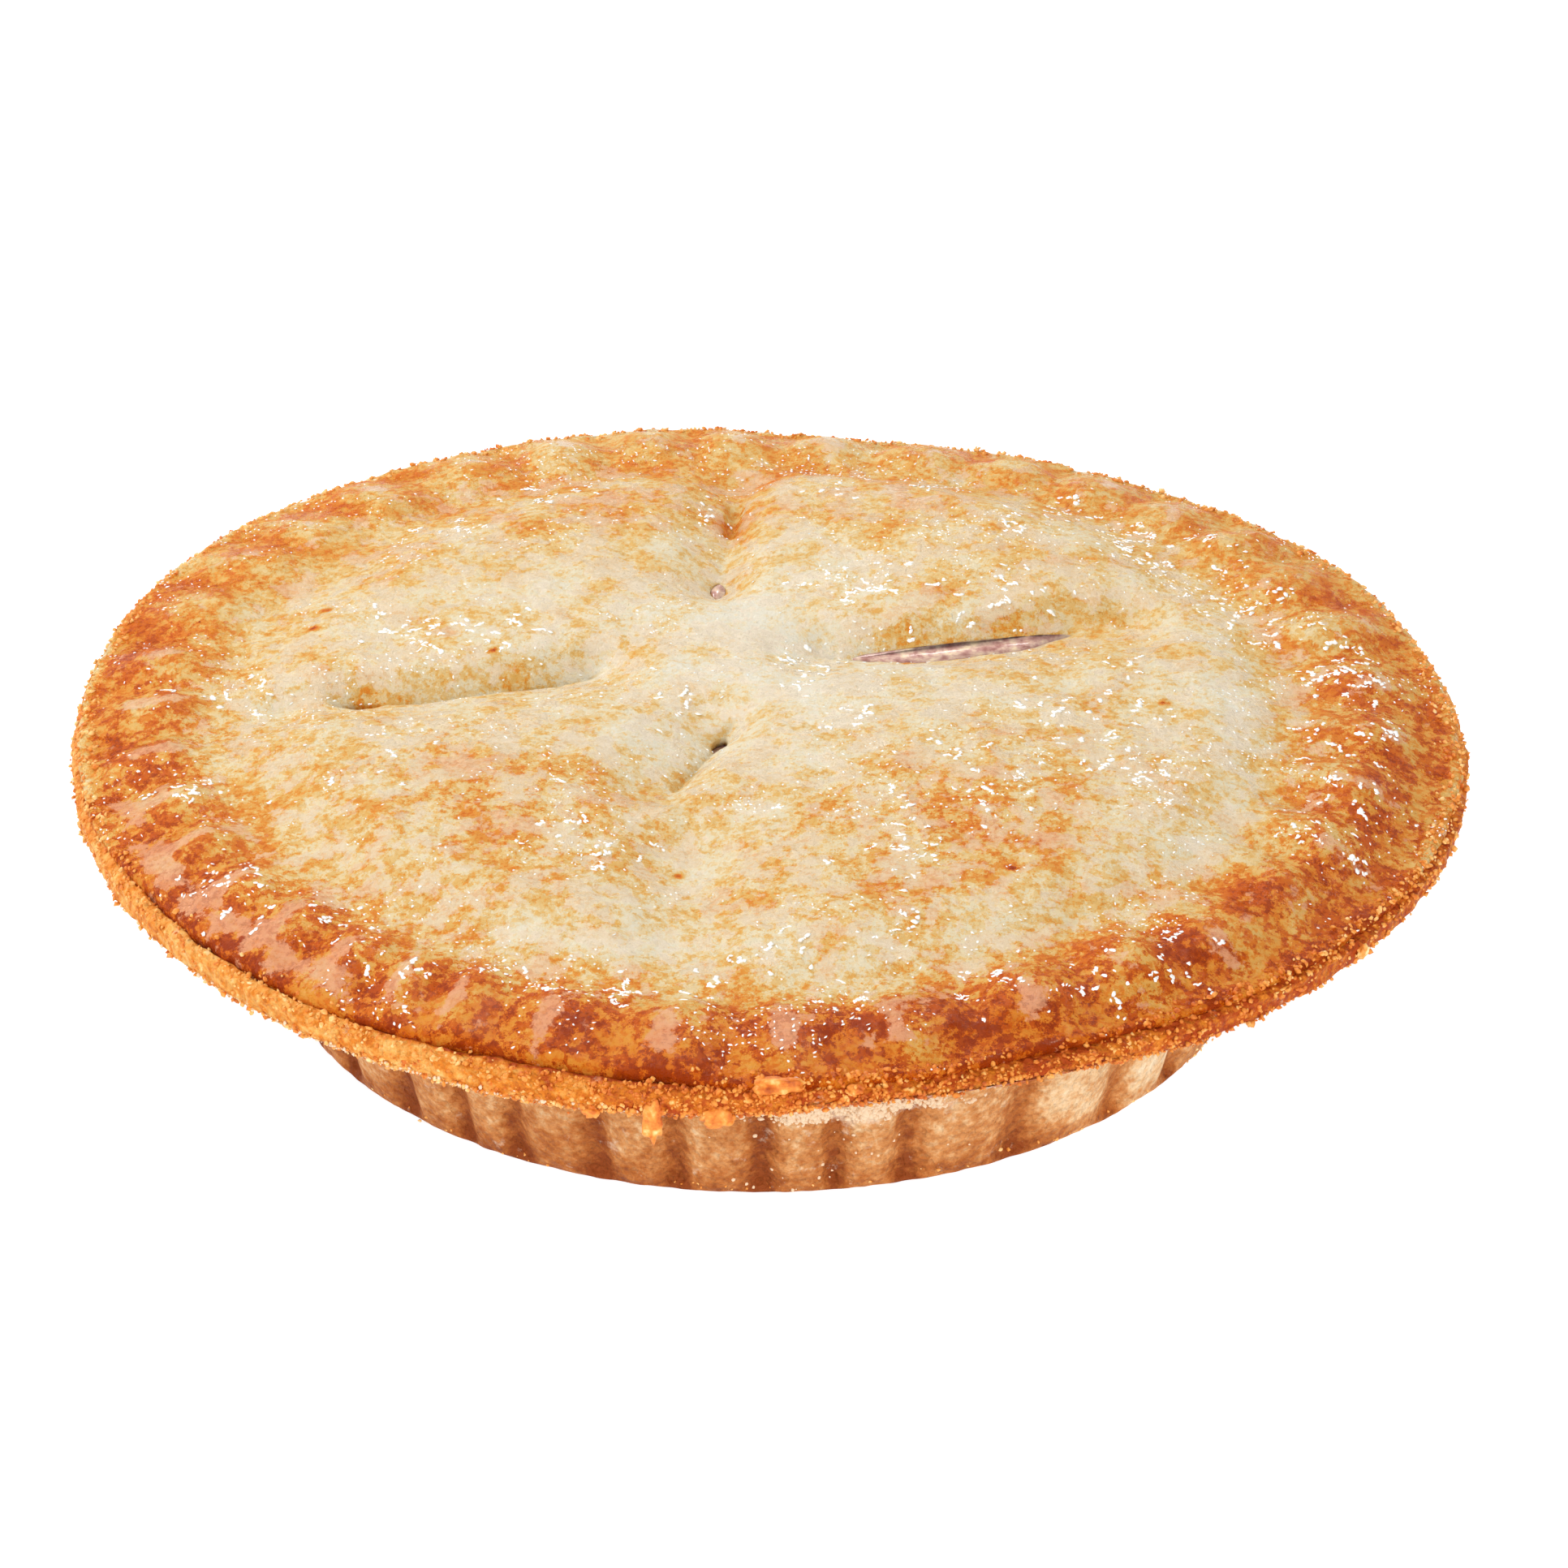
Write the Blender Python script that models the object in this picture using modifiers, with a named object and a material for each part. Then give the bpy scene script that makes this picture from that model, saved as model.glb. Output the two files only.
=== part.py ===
"""Blueberry pie with a closed lid, 8 inches across: fluted bottom crust, filling and crimped top crust.

Metres, +Z up. The origin is on the table under the middle of the pie, and the side that was turned to the
viewer is at -Y. Azimuths are measured from that side, anticlockwise seen from above, so +X is at 90 degrees.
"""

import math
import random

import bmesh
import bpy
from mathutils import Vector

MM = 0.001
TURN = 2 * math.pi
GAP = 0.3 * MM  # clearance between two pieces that touch

# The plan of the pie: nearly round, a little oval and a little egg-shaped.
PIE_RADIUS = 101.5 * MM
OVAL_SHARE = 0.031
OVAL_AT = math.radians(81)
EGG_SHARE = 0.0115
EGG_AT = math.radians(-22)
PLAN_POWER = 6  # how late towards the rim the unevenness of the plan sets in

# The bottom crust: base, sloping fluted wall and the rim that the lid is pressed on.
BASE_RADIUS = 73.6 * MM
BASE_EDGE = 1.4 * MM
WALL_TOP_RADIUS = 81.2 * MM
WALL_TOP_Z = 28.0 * MM
CRUST_THICKNESS = 3.2 * MM
BOWL_FLOOR_RADIUS = BASE_RADIUS - 1.1 * CRUST_THICKNESS
BOWL_MOUTH_RADIUS = WALL_TOP_RADIUS - 1.4 * CRUST_THICKNESS
SEAT_Z = 31.6 * MM  # the flat of the rim that the lid lies on
BAND_TOP_Z = 33.7 * MM  # the cut edge stands up round the lid
LOW_BAND = (0.5, math.radians(76), math.radians(32))  # share by which it is lower here, azimuth and width
BAND_BOTTOM_Z = 28.9 * MM
THIN_BAND_RISE = 2.8 * MM  # the cut edge is thinner at the front, right of the middle
THIN_BAND_AT = math.radians(17)
THIN_BAND_WIDTH = math.radians(16)
THIN_BAND_REACH = 5.5 * MM  # how far in from the face
LIP_CLEARANCE = 0.4 * MM  # between the lid's lip and the cut edge round it
FLUTE_COUNT = 36
FLUTE_DEPTH = 1.7 * MM
FLUTE_SHARPNESS = 2.5  # how narrow the valleys between the flutes are
FLUTE_TOP_Z = 22 * MM  # from here up to the top of the wall the flutes fade out
FLUTES_IN_SIGHT = (-44.5, -35.8, -29.0, -18.5, -9.9, 0.0, 8.2, 16.0, 29.9, 44.4)  # degrees

# The lid: a raised middle of four puffed lobes, then the crimped zone and its rounded lip.
LIP_SHARE = 0.979  # of the pie's radius, where the lid ends for the most part
LIP_DIPS = (
    (0.018, math.radians(-20), math.radians(12)),
    (0.018, math.radians(26), math.radians(13)),
)  # it falls short at two places: share, azimuth and width
LIP_START = 0.865  # share of the radius from which the rim slopes down to its lip
LIP_DROP = 3.1 * MM
LIP_LIFT_BEHIND = 1.0 * MM  # how much less it drops at the back
LIP_DROP_RIGHT = (1.3 * MM, math.radians(72), math.radians(34))  # how much more here, azimuth and width
LIP_SHIFT_FROM = 88 * MM  # radius from which the lid's outline is drawn in or out to its lip
BEHIND = (-0.3, 0.2)  # where the back begins and is full, as shares of the radius behind the middle
RIM_Z = 38.2 * MM
RIM_HEAVES = (
    (1.2 * MM, math.radians(-118), math.radians(16)),
    (1.5 * MM, math.radians(117), math.radians(14)),
    (-1.2 * MM, math.radians(172), math.radians(10)),
)  # where the rim stands higher or lower: rise, azimuth and width
MIDDLE_RISE = 3.4 * MM
MIDDLE_EDGE = (0.64, 0.81)  # shares of the radius between which the middle falls to the rim
CALM_EDGE = (0.70, 0.86)  # and between which lobes and valleys fade out
SEAT_EDGE = (0.76, 0.85)  # and between which the lid's underside comes down to its seat
LID_THICKNESS = 3.4 * MM

CRIMP_COUNT = 38
CRIMP_RISE = 1.5 * MM
CRIMP_UNEVEN = 0.35  # how much the knuckles differ in size
CRIMPS_IN_SIGHT = (
    -81.7, -73.2, -64.6, -56.5, -48.2, -40.0, -33.4, -27.5, -18.8, -7.7,
    2.9, 13.0, 25.9, 36.6, 46.4, 57.1, 65.7, 76.6, 86.7,
)  # degrees, the middles of the knuckles
CRIMP_REACH = 0.075  # half the length of a knuckle, as a share of the radius
CRIMP_MIDDLE = 0.898  # share of the radius
CRIMP_INSET = 0.055  # on the right the knuckles lie this much further in
CRIMP_INSET_AT = math.radians(62)
CRIMP_INSET_WIDTH = math.radians(42)
CRIMP_FULLNESS = 0.7  # below 1 a knuckle is broader than the dip beside it

# Lobes: place of the middle, spread and rise.
LOBES = (
    (-36 * MM, 40 * MM, 24 * MM, 1.3 * MM),
    (33 * MM, 45 * MM, 23 * MM, 2.1 * MM),
    (-38 * MM, -26 * MM, 25 * MM, 1.9 * MM),
    (30 * MM, -22 * MM, 28 * MM, 2.6 * MM),
)

# Vents: inner end, outer end and bow to the left, the stretch that stands open (shares of the length) and how
# wide, then the widths to the left and to the right and the depth of the valley that the dough sank into. One
# side is steeper, where a lobe has rolled up to the cut.
VENTS = (
    ((-7.0, 36.0), (-4.2, 67.0), 0.0, (0.0, 0.24), 2.4, 6.5, 5.0, 3.0),
    ((-26.0, 12.0), (-63.0, 3.5), 2.0, (0.84, 1.0), 2.0, 9.0, 4.0, 3.1),
    ((-5.5, -7.0), (-12.5, -23.5), 0.0, (0.0, 0.34), 2.4, 4.5, 8.0, 2.8),
    ((9.0, 18.0), (47.0, 24.5), -2.4, (0.12, 1.0), 5.2, 4.8, 10.0, 3.4),
)  # millimetres
VALLEY_REACH = 1.22  # how far past the vent's outer end a valley runs
FRONT_FOLD = ((-10.0, -44.0), (-10.5, -66.0), 9.0, 2.8)  # the fold between the two front lobes

# Flakes that broke loose at the cut edge: azimuth in degrees, radius, height, then length, width, depth.
FLAKES = (
    (-8.9, 100.2, 29.4, 2.2, 1.5, 5.6),
    (-3.6, 100.4, 30.6, 3.4, 1.6, 2.4),
    (57.0, 101.3, 31.0, 2.6, 1.8, 2.2),
)  # millimetres

COARSE_STEPS = 44
FINE_FROM = 27 * MM  # radius past which a ring has twice as many steps
FINEST_FROM = 69 * MM


def smooth(value, low, high):
    """0 below low, 1 above high, with no corner between."""
    t = min(max((value - low) / (high - low), 0.0), 1.0)
    return t * t * (3 - 2 * t)


def bump(azimuth, middle, width):
    """1 at an azimuth, falling to 0 on both sides of it."""
    away = (azimuth - middle + math.pi) % TURN - math.pi
    return math.exp(-((away / width) ** 2))


def azimuth_of(x, y):
    return math.atan2(x, -y)


def plan_share(azimuth):
    """The rim's radius at this azimuth, as a share of the mean."""
    oval = OVAL_SHARE * math.cos(2 * (azimuth - OVAL_AT))
    return 1 + oval + EGG_SHARE * math.cos(3 * (azimuth - EGG_AT))


def placed(radius, azimuth):
    """x and y of a point of the round pie in the uneven plan."""
    share = 1 + (plan_share(azimuth) - 1) * (radius / PIE_RADIUS) ** PLAN_POWER
    return radius * share * math.sin(azimuth), -radius * share * math.cos(azimuth)


def spaced_round(seen, count, seed):
    """Azimuths of all the repeats: those in sight as they are, the rest spread evenly over what is left."""
    draw = random.Random(seed)
    first, last = math.radians(seen[0]), math.radians(seen[-1])
    hidden = count - len(seen)
    pitch = (TURN - (last - first)) / (hidden + 1)
    uneven = 0.14 * pitch
    behind = [last + pitch * (i + 1) + draw.uniform(-uneven, uneven) for i in range(hidden)]
    return [math.radians(degrees) for degrees in seen] + behind


def phase_of(azimuth, marks):
    """How far the azimuth is from one mark to the next, from 0 to 1, and the number of that mark."""
    turned = (azimuth - marks[0]) % TURN + marks[0]
    for i, mark in enumerate(marks):
        following = marks[i + 1] if i + 1 < len(marks) else marks[0] + TURN
        if turned < following:
            return (turned - mark) / (following - mark), i
    return 0.0, 0


FLUTES = spaced_round(FLUTES_IN_SIGHT, FLUTE_COUNT, 5)
CRIMPS = spaced_round(CRIMPS_IN_SIGHT, CRIMP_COUNT, 11)
size_draw = random.Random(7)
CRIMP_SIZES = [1 + CRIMP_UNEVEN * size_draw.uniform(-1, 1) for _ in CRIMPS]


def by_line(x, y, start, end, bow, reach, left_width, right_width):
    """1 on a bowed line in millimetres, falling to 0 within its width on either side and round its ends."""
    line = Vector(end) - Vector(start)
    away = Vector((x / MM, y / MM)) - Vector(start)
    along = away.dot(line) / line.length_squared
    left = line.normalized().cross(away) - bow * max(1 - (2 * along - 1) ** 2, 0.0)
    past = (along - min(max(along, 0.0), reach)) * line.length
    width = left_width + (right_width - left_width) * smooth(-left, -1.5, 1.5)
    mean_width = (left_width + right_width) / 2
    return math.exp(-((left / width) ** 2) - (past / mean_width) ** 2)


def valleys(x, y):
    """How deep the dough sank along the vents and in the fold between the front lobes."""
    start, end, width, sunk = FRONT_FOLD
    depth = sunk * MM * by_line(x, y, start, end, 0.0, 1.0, width, width)
    for inner, outer, bow, _, _, left_width, right_width, sunk in VENTS:
        near = by_line(x, y, inner, outer, bow, VALLEY_REACH, left_width, right_width)
        depth = max(depth, sunk * MM * near)
    return depth


def lobes(x, y):
    """How high the four lobes have puffed up."""
    return sum(
        rise * math.exp(-((x - at_x) ** 2 + (y - at_y) ** 2) / spread**2)
        for at_x, at_y, spread, rise in LOBES
    )


def behind(azimuth):
    """0 on the front and the sides, 1 at the back."""
    return smooth(-math.cos(azimuth), *BEHIND)


def crimp(share, azimuth):
    """Height of the pressed knuckles of the rim."""
    phase, number = phase_of(azimuth, CRIMPS)
    knuckle = 0.5 + 0.5 * math.cos(TURN * phase)
    following = CRIMP_SIZES[(number + 1) % len(CRIMP_SIZES)]
    size = CRIMP_SIZES[number] * (1 - phase) + following * phase
    middle = CRIMP_MIDDLE - CRIMP_INSET * bump(azimuth, CRIMP_INSET_AT, CRIMP_INSET_WIDTH)
    away = (share - middle) / CRIMP_REACH
    return CRIMP_RISE * size * knuckle**CRIMP_FULLNESS * math.exp(-(away**4))


def lip_share(azimuth):
    """Where the lid ends, as a share of the pie's radius."""
    return LIP_SHARE - sum(short * bump(azimuth, at, width) for short, at, width in LIP_DIPS)


def band_height(azimuth):
    """How high the cut edge stands up here, as a share of its full height."""
    lower, at, width = LOW_BAND
    return 1 - lower * bump(azimuth, at, width)


def lid_top(radius, azimuth):
    """Height of the lid's upper surface."""
    share = radius / PIE_RADIUS
    x, y = placed(radius, azimuth)
    heave = sum(rise * bump(azimuth, at, width) for rise, at, width in RIM_HEAVES)
    rim = RIM_Z + heave * smooth(share, *CALM_EDGE)
    inside = 1 - smooth(share, *MIDDLE_EDGE)
    form = MIDDLE_RISE * inside + (lobes(x, y) - valleys(x, y)) * (1 - smooth(share, *CALM_EDGE))
    more, at, width = LIP_DROP_RIGHT
    drop = LIP_DROP - LIP_LIFT_BEHIND * behind(azimuth) + more * bump(azimuth, at, width)
    return rim + form - drop * smooth(share, LIP_START, lip_share(azimuth)) + crimp(share, azimuth)


def lid_under(radius, azimuth):
    """Height of the lid's lower surface: flat on the rim, elsewhere as far below the top as it is thick."""
    share = radius / PIE_RADIUS
    seat = SEAT_Z + GAP
    domed = lid_top(radius, azimuth) - LID_THICKNESS
    flat = smooth(share, *SEAT_EDGE)
    return domed * (1 - flat) + seat * flat


def turned(name, section, steps):
    """A section, given as (radius, height) down its outer side, turned into a closed mesh."""
    mesh = bpy.data.meshes.new(name)
    edges = [(i, i + 1) for i in range(len(section) - 1)]
    mesh.from_pydata([(r, 0, z) for r, z in section], edges, [])
    profile = bpy.data.objects.new(name + "_profile", mesh)
    pie.objects.link(profile)
    screw = profile.modifiers.new("Turn", "SCREW")
    screw.steps = screw.render_steps = steps
    screw.use_merge_vertices = True
    screw.merge_threshold = 0.00001
    bpy.context.view_layer.update()
    graph = bpy.context.evaluated_depsgraph_get()
    solid = bpy.data.meshes.new_from_object(profile.evaluated_get(graph))
    bpy.data.objects.remove(profile)
    bm = bmesh.new()
    bm.from_mesh(solid)
    bmesh.ops.remove_doubles(bm, verts=bm.verts, dist=0.00001)
    bpy.data.meshes.remove(solid)
    return bm


def split_rings(bm, beyond, lowest=-1.0):
    """Gives the rings beyond a radius, and above a height, twice as many steps."""
    rings = []
    for edge in bm.edges:
        a, b = edge.verts
        level = abs(a.co.z - b.co.z) < 0.001 * MM
        radii = [math.hypot(v.co.x, v.co.y) for v in (a, b)]
        if level and abs(radii[0] - radii[1]) < 0.02 * MM and radii[0] > beyond and a.co.z > lowest:
            rings.append(edge)
    bmesh.ops.subdivide_edges(bm, edges=rings, cuts=1)


def finished(name, bm, material):
    """The object made from a mesh, smooth, with its creases kept."""
    mesh = bpy.data.meshes.new(name)
    bmesh.ops.triangulate(bm, faces=bm.faces, quad_method="SHORT_EDGE", ngon_method="BEAUTY")
    bmesh.ops.recalc_face_normals(bm, faces=bm.faces)
    bm.to_mesh(mesh)
    bm.free()
    mesh.shade_smooth()
    mesh.set_sharp_from_angle(angle=math.radians(40))
    mesh.materials.append(material)
    obj = bpy.data.objects.new(name, mesh)
    pie.objects.link(obj)
    return obj


def baked(name, red, green, blue, roughness):
    """A plain food finish. The colour is linear."""
    material = bpy.data.materials.new(name)
    material.use_nodes = True
    shader = material.node_tree.nodes["Principled BSDF"]
    shader.inputs["Base Color"].default_value = (red, green, blue, 1)
    shader.inputs["Roughness"].default_value = roughness
    shader.inputs["Metallic"].default_value = 0
    return material


def make_lid():
    """The top crust: a flat disc whose height, 0 below and 1 above, becomes the two surfaces of the lid."""
    rings = [0, 7, 14, 21, 28, 34, 40, 46, 51.5, 56.5, 61.5, 66, 70, 74, 78, 82, 85.5, 89, 92, 94.5]
    edge = LIP_SHARE * PIE_RADIUS / MM
    under = [84, 80, 76, 70, 61.5, 51.5, 40, 28, 14, 0]
    section = [(r * MM, 1) for r in rings]
    section += [((edge - 0.5) * MM, 0.93), (edge * MM, 0.62), ((edge - 0.3) * MM, 0)]
    section += [(r * MM, 0) for r in under]
    bm = turned("top_crust", section, COARSE_STEPS)
    split_rings(bm, FINE_FROM)
    split_rings(bm, FINEST_FROM, lowest=0.5)
    for v in bm.verts:
        radius = math.hypot(v.co.x, v.co.y)
        azimuth = azimuth_of(v.co.x, v.co.y)
        past_crimps = smooth(radius, LIP_SHIFT_FROM, edge * MM)
        radius *= 1 + (lip_share(azimuth) / LIP_SHARE - 1) * past_crimps
        above, below = lid_top(radius, azimuth), lid_under(radius, azimuth)
        height = below + v.co.z * (above - below)
        x, y = placed(radius, azimuth)
        v.co = (x, y, height)
    return finished("top_crust", bm, golden_crust)


def make_bottom_crust():
    """The bottom crust: an open bowl with a fluted wall, and a rim whose cut edge stands up round the lid."""
    face = PIE_RADIUS
    lip = LIP_SHARE * face + LIP_CLEARANCE
    band = face - lip
    section = [
        (0, CRUST_THICKNESS),
        (BOWL_FLOOR_RADIUS * 0.5, CRUST_THICKNESS),
        (BOWL_FLOOR_RADIUS, CRUST_THICKNESS),
        ((BOWL_FLOOR_RADIUS + BOWL_MOUTH_RADIUS) / 2, (CRUST_THICKNESS + SEAT_Z) / 2),
        (BOWL_MOUTH_RADIUS, SEAT_Z),
        (lip, SEAT_Z),
        (lip + 0.1 * band, BAND_TOP_Z - 0.8 * MM),
        (lip + 0.35 * band, BAND_TOP_Z),
        (face - 0.3 * band, BAND_TOP_Z - 0.3 * MM),
        (face, BAND_TOP_Z - 1.0 * MM),
        (face - 0.3 * MM, BAND_BOTTOM_Z + 0.8 * MM),
        (face - 1.6 * MM, BAND_BOTTOM_Z - 0.2 * MM),
        (face - THIN_BAND_REACH, BAND_BOTTOM_Z - 0.5 * MM),
        (WALL_TOP_RADIUS + 2.5 * MM, WALL_TOP_Z),
    ]
    for t in (0.12, 0.35, 0.6, 0.82, 1.0):
        radius = WALL_TOP_RADIUS + (BASE_RADIUS - WALL_TOP_RADIUS) * t
        section.append((radius, WALL_TOP_Z + (BASE_EDGE - WALL_TOP_Z) * t))
    section += [(BASE_RADIUS - 0.5 * MM, 0.4 * MM), (BASE_RADIUS - BASE_EDGE, 0)]
    section += [(BASE_RADIUS * 0.5, 0), (0, 0)]
    bm = turned("bottom_crust", section, 90)
    outside = [
        e
        for e in bm.edges
        if abs(e.verts[0].co.z - e.verts[1].co.z) < 0.001 * MM
        and math.hypot(e.verts[0].co.x, e.verts[0].co.y) > outer_line(e.verts[0].co.z) - 0.4 * MM
        and 0.1 * MM < e.verts[0].co.z < BAND_TOP_Z
        and abs(math.hypot(*e.verts[0].co.xy) - math.hypot(*e.verts[1].co.xy)) < 0.02 * MM
    ]
    bmesh.ops.subdivide_edges(bm, edges=outside, cuts=1)
    for v in bm.verts:
        radius = math.hypot(v.co.x, v.co.y)
        azimuth = azimuth_of(v.co.x, v.co.y)
        height = v.co.z
        phase, _ = phase_of(azimuth, FLUTES)
        valley = (0.5 + 0.5 * math.cos(TURN * phase)) ** FLUTE_SHARPNESS
        on_wall = smooth(height, 0.2 * MM, 2.2 * MM) * (1 - smooth(height, FLUTE_TOP_Z, WALL_TOP_Z))
        if radius > outer_line(height) - 0.9 * MM and height < WALL_TOP_Z:
            radius -= FLUTE_DEPTH * valley * on_wall
        if height > SEAT_Z - 0.1 * MM and radius > lip - 0.1 * MM:
            lip_here = lip_share(azimuth) * face + LIP_CLEARANCE
            radius = lip_here + (radius - lip) / band * (face - lip_here)
            height = SEAT_Z + max(height - SEAT_Z, 0) * band_height(azimuth)
        if radius > face - 0.1 * MM or (height < SEAT_Z - 0.1 * MM and radius > face - THIN_BAND_REACH):
            low = 1 - smooth(height, BAND_BOTTOM_Z, BAND_TOP_Z - 1 * MM)
            outside = smooth(radius, face - THIN_BAND_REACH, face - 1 * MM)
            height += THIN_BAND_RISE * bump(azimuth, THIN_BAND_AT, THIN_BAND_WIDTH) * low * outside
        x, y = placed(radius, azimuth)
        v.co = (x, y, height)
    return finished("bottom_crust", bm, tan_crust)


def outer_line(height):
    """Radius of the plain wall at a height, without its flutes."""
    t = (height - BASE_EDGE) / (WALL_TOP_Z - BASE_EDGE)
    return BASE_RADIUS + (WALL_TOP_RADIUS - BASE_RADIUS) * t


def inner_line(height):
    """Radius of the bowl's inner wall at a height."""
    t = (height - CRUST_THICKNESS) / (SEAT_Z - CRUST_THICKNESS)
    return BOWL_FLOOR_RADIUS + (BOWL_MOUTH_RADIUS - BOWL_FLOOR_RADIUS) * t


def make_filling():
    """The filling: it fills the bowl and reaches up to the lid, where it shows in the vents."""
    clear = 1.5 * GAP
    floor_z = CRUST_THICKNESS + clear
    shoulder_z = 26 * MM
    shoulder = (shoulder_z - floor_z) / (SEAT_Z - floor_z)
    rings = [0, 14, 28, 40, 51.5, 61.5, 70, 75]
    section = [(r * MM, 1) for r in rings]
    section += [(inner_line(shoulder_z) - 2 * clear, shoulder)]
    section += [(inner_line(floor_z) - 2 * clear, 0), (30 * MM, 0), (0, 0)]
    bm = turned("filling", section, COARSE_STEPS)
    split_rings(bm, FINE_FROM, lowest=0.5)
    for v in bm.verts:
        radius = math.hypot(v.co.x, v.co.y)
        azimuth = azimuth_of(v.co.x, v.co.y)
        level = lid_under(radius, azimuth) - clear
        height = floor_z + v.co.z * (level - floor_z)
        x, y = placed(radius, azimuth)
        v.co = (x, y, height)
    return finished("filling", bm, berry_filling)


def vent_cutter(number, inner, outer, bow, opening, width):
    """A bowed, lens-shaped knife that stands through the lid along the open stretch of one vent."""
    line = Vector(outer) - Vector(inner)
    left = Vector((-line.y, line.x)).normalized()
    first, last = opening
    bm = bmesh.new()
    bmesh.ops.create_circle(bm, segments=16, radius=1.0, cap_ends=True)
    for v in bm.verts:
        along = first + (last - first) * (v.co.x + 1) / 2
        across = v.co.y * abs(v.co.y) ** 0.5 * width / 2 + bow * (1 - (2 * along - 1) ** 2)
        place = (Vector(inner) + line * along + left * across) * MM
        v.co = (place.x, place.y, SEAT_Z)
    raised = bmesh.ops.extrude_face_region(bm, geom=list(bm.faces))
    tops = [v for v in raised["geom"] if isinstance(v, bmesh.types.BMVert)]
    bmesh.ops.translate(bm, verts=tops, vec=(0, 0, 20 * MM))
    bmesh.ops.recalc_face_normals(bm, faces=bm.faces)
    mesh = bpy.data.meshes.new(f"vent_{number}")
    bm.to_mesh(mesh)
    bm.free()
    knife = bpy.data.objects.new(f"vent_{number}", mesh)
    knife.hide_render = True
    knife.display_type = "WIRE"
    cutters.objects.link(knife)


def flake(number, azimuth_deg, radius, height, length, width, depth):
    """A flake of crust, a flattened lump that is joined to the cut edge."""
    bm = bmesh.new()
    bmesh.ops.create_icosphere(bm, subdivisions=1, radius=1.0)
    azimuth = math.radians(azimuth_deg)
    x, y = placed(radius * MM, azimuth)
    for v in bm.verts:
        side, out, up = v.co.x * length / 2, v.co.y * width / 2, v.co.z * depth / 2
        v.co.x = x + (side * math.cos(azimuth) + out * math.sin(azimuth)) * MM
        v.co.y = y + (side * math.sin(azimuth) - out * math.cos(azimuth)) * MM
        v.co.z = (height + up) * MM
    mesh = bpy.data.meshes.new(f"flake_{number}")
    bm.to_mesh(mesh)
    bm.free()
    lump = bpy.data.objects.new(f"flake_{number}", mesh)
    lump.hide_render = True
    lump.display_type = "WIRE"
    flakes.objects.link(lump)


def centre_in_plan(pieces):
    """Moves the pieces together, so that the middle of their outline is at the origin."""
    corners = [v.co for piece in pieces for v in piece.data.vertices]
    x = (min(c.x for c in corners) + max(c.x for c in corners)) / 2
    y = (min(c.y for c in corners) + max(c.y for c in corners)) / 2
    for piece in list(pieces) + list(cutters.objects) + list(flakes.objects):
        for v in piece.data.vertices:
            v.co.x -= x
            v.co.y -= y


for old in list(bpy.data.objects):
    bpy.data.objects.remove(old)

pie = bpy.data.collections.new("blueberry_pie")
cutters = bpy.data.collections.new("vent_cutters")
flakes = bpy.data.collections.new("flakes")
for collection in (pie, cutters, flakes):
    bpy.context.scene.collection.children.link(collection)

golden_crust = baked("golden_crust", 0.72, 0.42, 0.15, 0.35)
tan_crust = baked("tan_crust", 0.58, 0.33, 0.14, 0.6)
berry_filling = baked("berry_filling", 0.16, 0.08, 0.11, 0.2)

lid = make_lid()
bowl = make_bottom_crust()
inside = make_filling()
for number, (inner, outer, bow, opening, width, *_) in enumerate(VENTS):
    vent_cutter(number, inner, outer, bow, opening, width)
for number, sizes in enumerate(FLAKES):
    flake(number, *sizes)
centre_in_plan((lid, bowl, inside))

cut = lid.modifiers.new("Vents", "BOOLEAN")
cut.operation = "DIFFERENCE"
cut.operand_type = "COLLECTION"
cut.collection = cutters
cut.solver = "EXACT"

join = bowl.modifiers.new("Flakes", "BOOLEAN")
join.operation = "UNION"
join.operand_type = "COLLECTION"
join.collection = flakes
join.solver = "EXACT"
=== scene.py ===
"""Looks of the blueberry pie: bottom crust, filling, lid, flakes, crumbs, flour and egg wash.

Meshes are modelled in millimetres and turned to metres when they are finished. The side that was turned to
the viewer is at -Y, and azimuths are measured from there, anticlockwise seen from above. Where a table gives
an azimuth and a width, they are in degrees.
"""

import math
import random

import bmesh
import bpy
import numpy as np
from mathutils import Matrix, Vector, noise


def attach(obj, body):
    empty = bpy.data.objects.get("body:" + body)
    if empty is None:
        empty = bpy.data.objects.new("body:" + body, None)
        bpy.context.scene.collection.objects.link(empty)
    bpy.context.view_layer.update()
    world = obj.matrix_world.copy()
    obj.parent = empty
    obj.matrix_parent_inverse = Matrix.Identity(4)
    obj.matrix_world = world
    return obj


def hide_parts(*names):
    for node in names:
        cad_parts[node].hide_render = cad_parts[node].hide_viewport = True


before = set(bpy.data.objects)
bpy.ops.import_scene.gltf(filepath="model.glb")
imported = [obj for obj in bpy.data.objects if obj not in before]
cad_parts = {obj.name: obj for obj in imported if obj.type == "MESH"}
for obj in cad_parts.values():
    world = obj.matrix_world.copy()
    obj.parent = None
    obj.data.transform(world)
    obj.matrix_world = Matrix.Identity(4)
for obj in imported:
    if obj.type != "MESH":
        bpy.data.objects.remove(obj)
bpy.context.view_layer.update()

# ------------------------------------------------------------------------------------------------------------
# Bottom crust. Shortcrust rolled 3 mm thick, pressed into a fluted pan and baked tan. Its rim carries the
# lid, and the cut edge outside the lid shows the open crumb. Turned from a section, then fluted and
# roughened.

TURN = 2 * math.pi
PIE_RADIUS = 101.5
OVAL = (0.031, math.radians(81))  # share by which the plan is longer, and towards which azimuth
EGG = (0.0115, math.radians(-22))  # the same for its egg shape
PLAN_POWER = 6  # how late towards the rim the unevenness of the plan sets in

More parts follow.
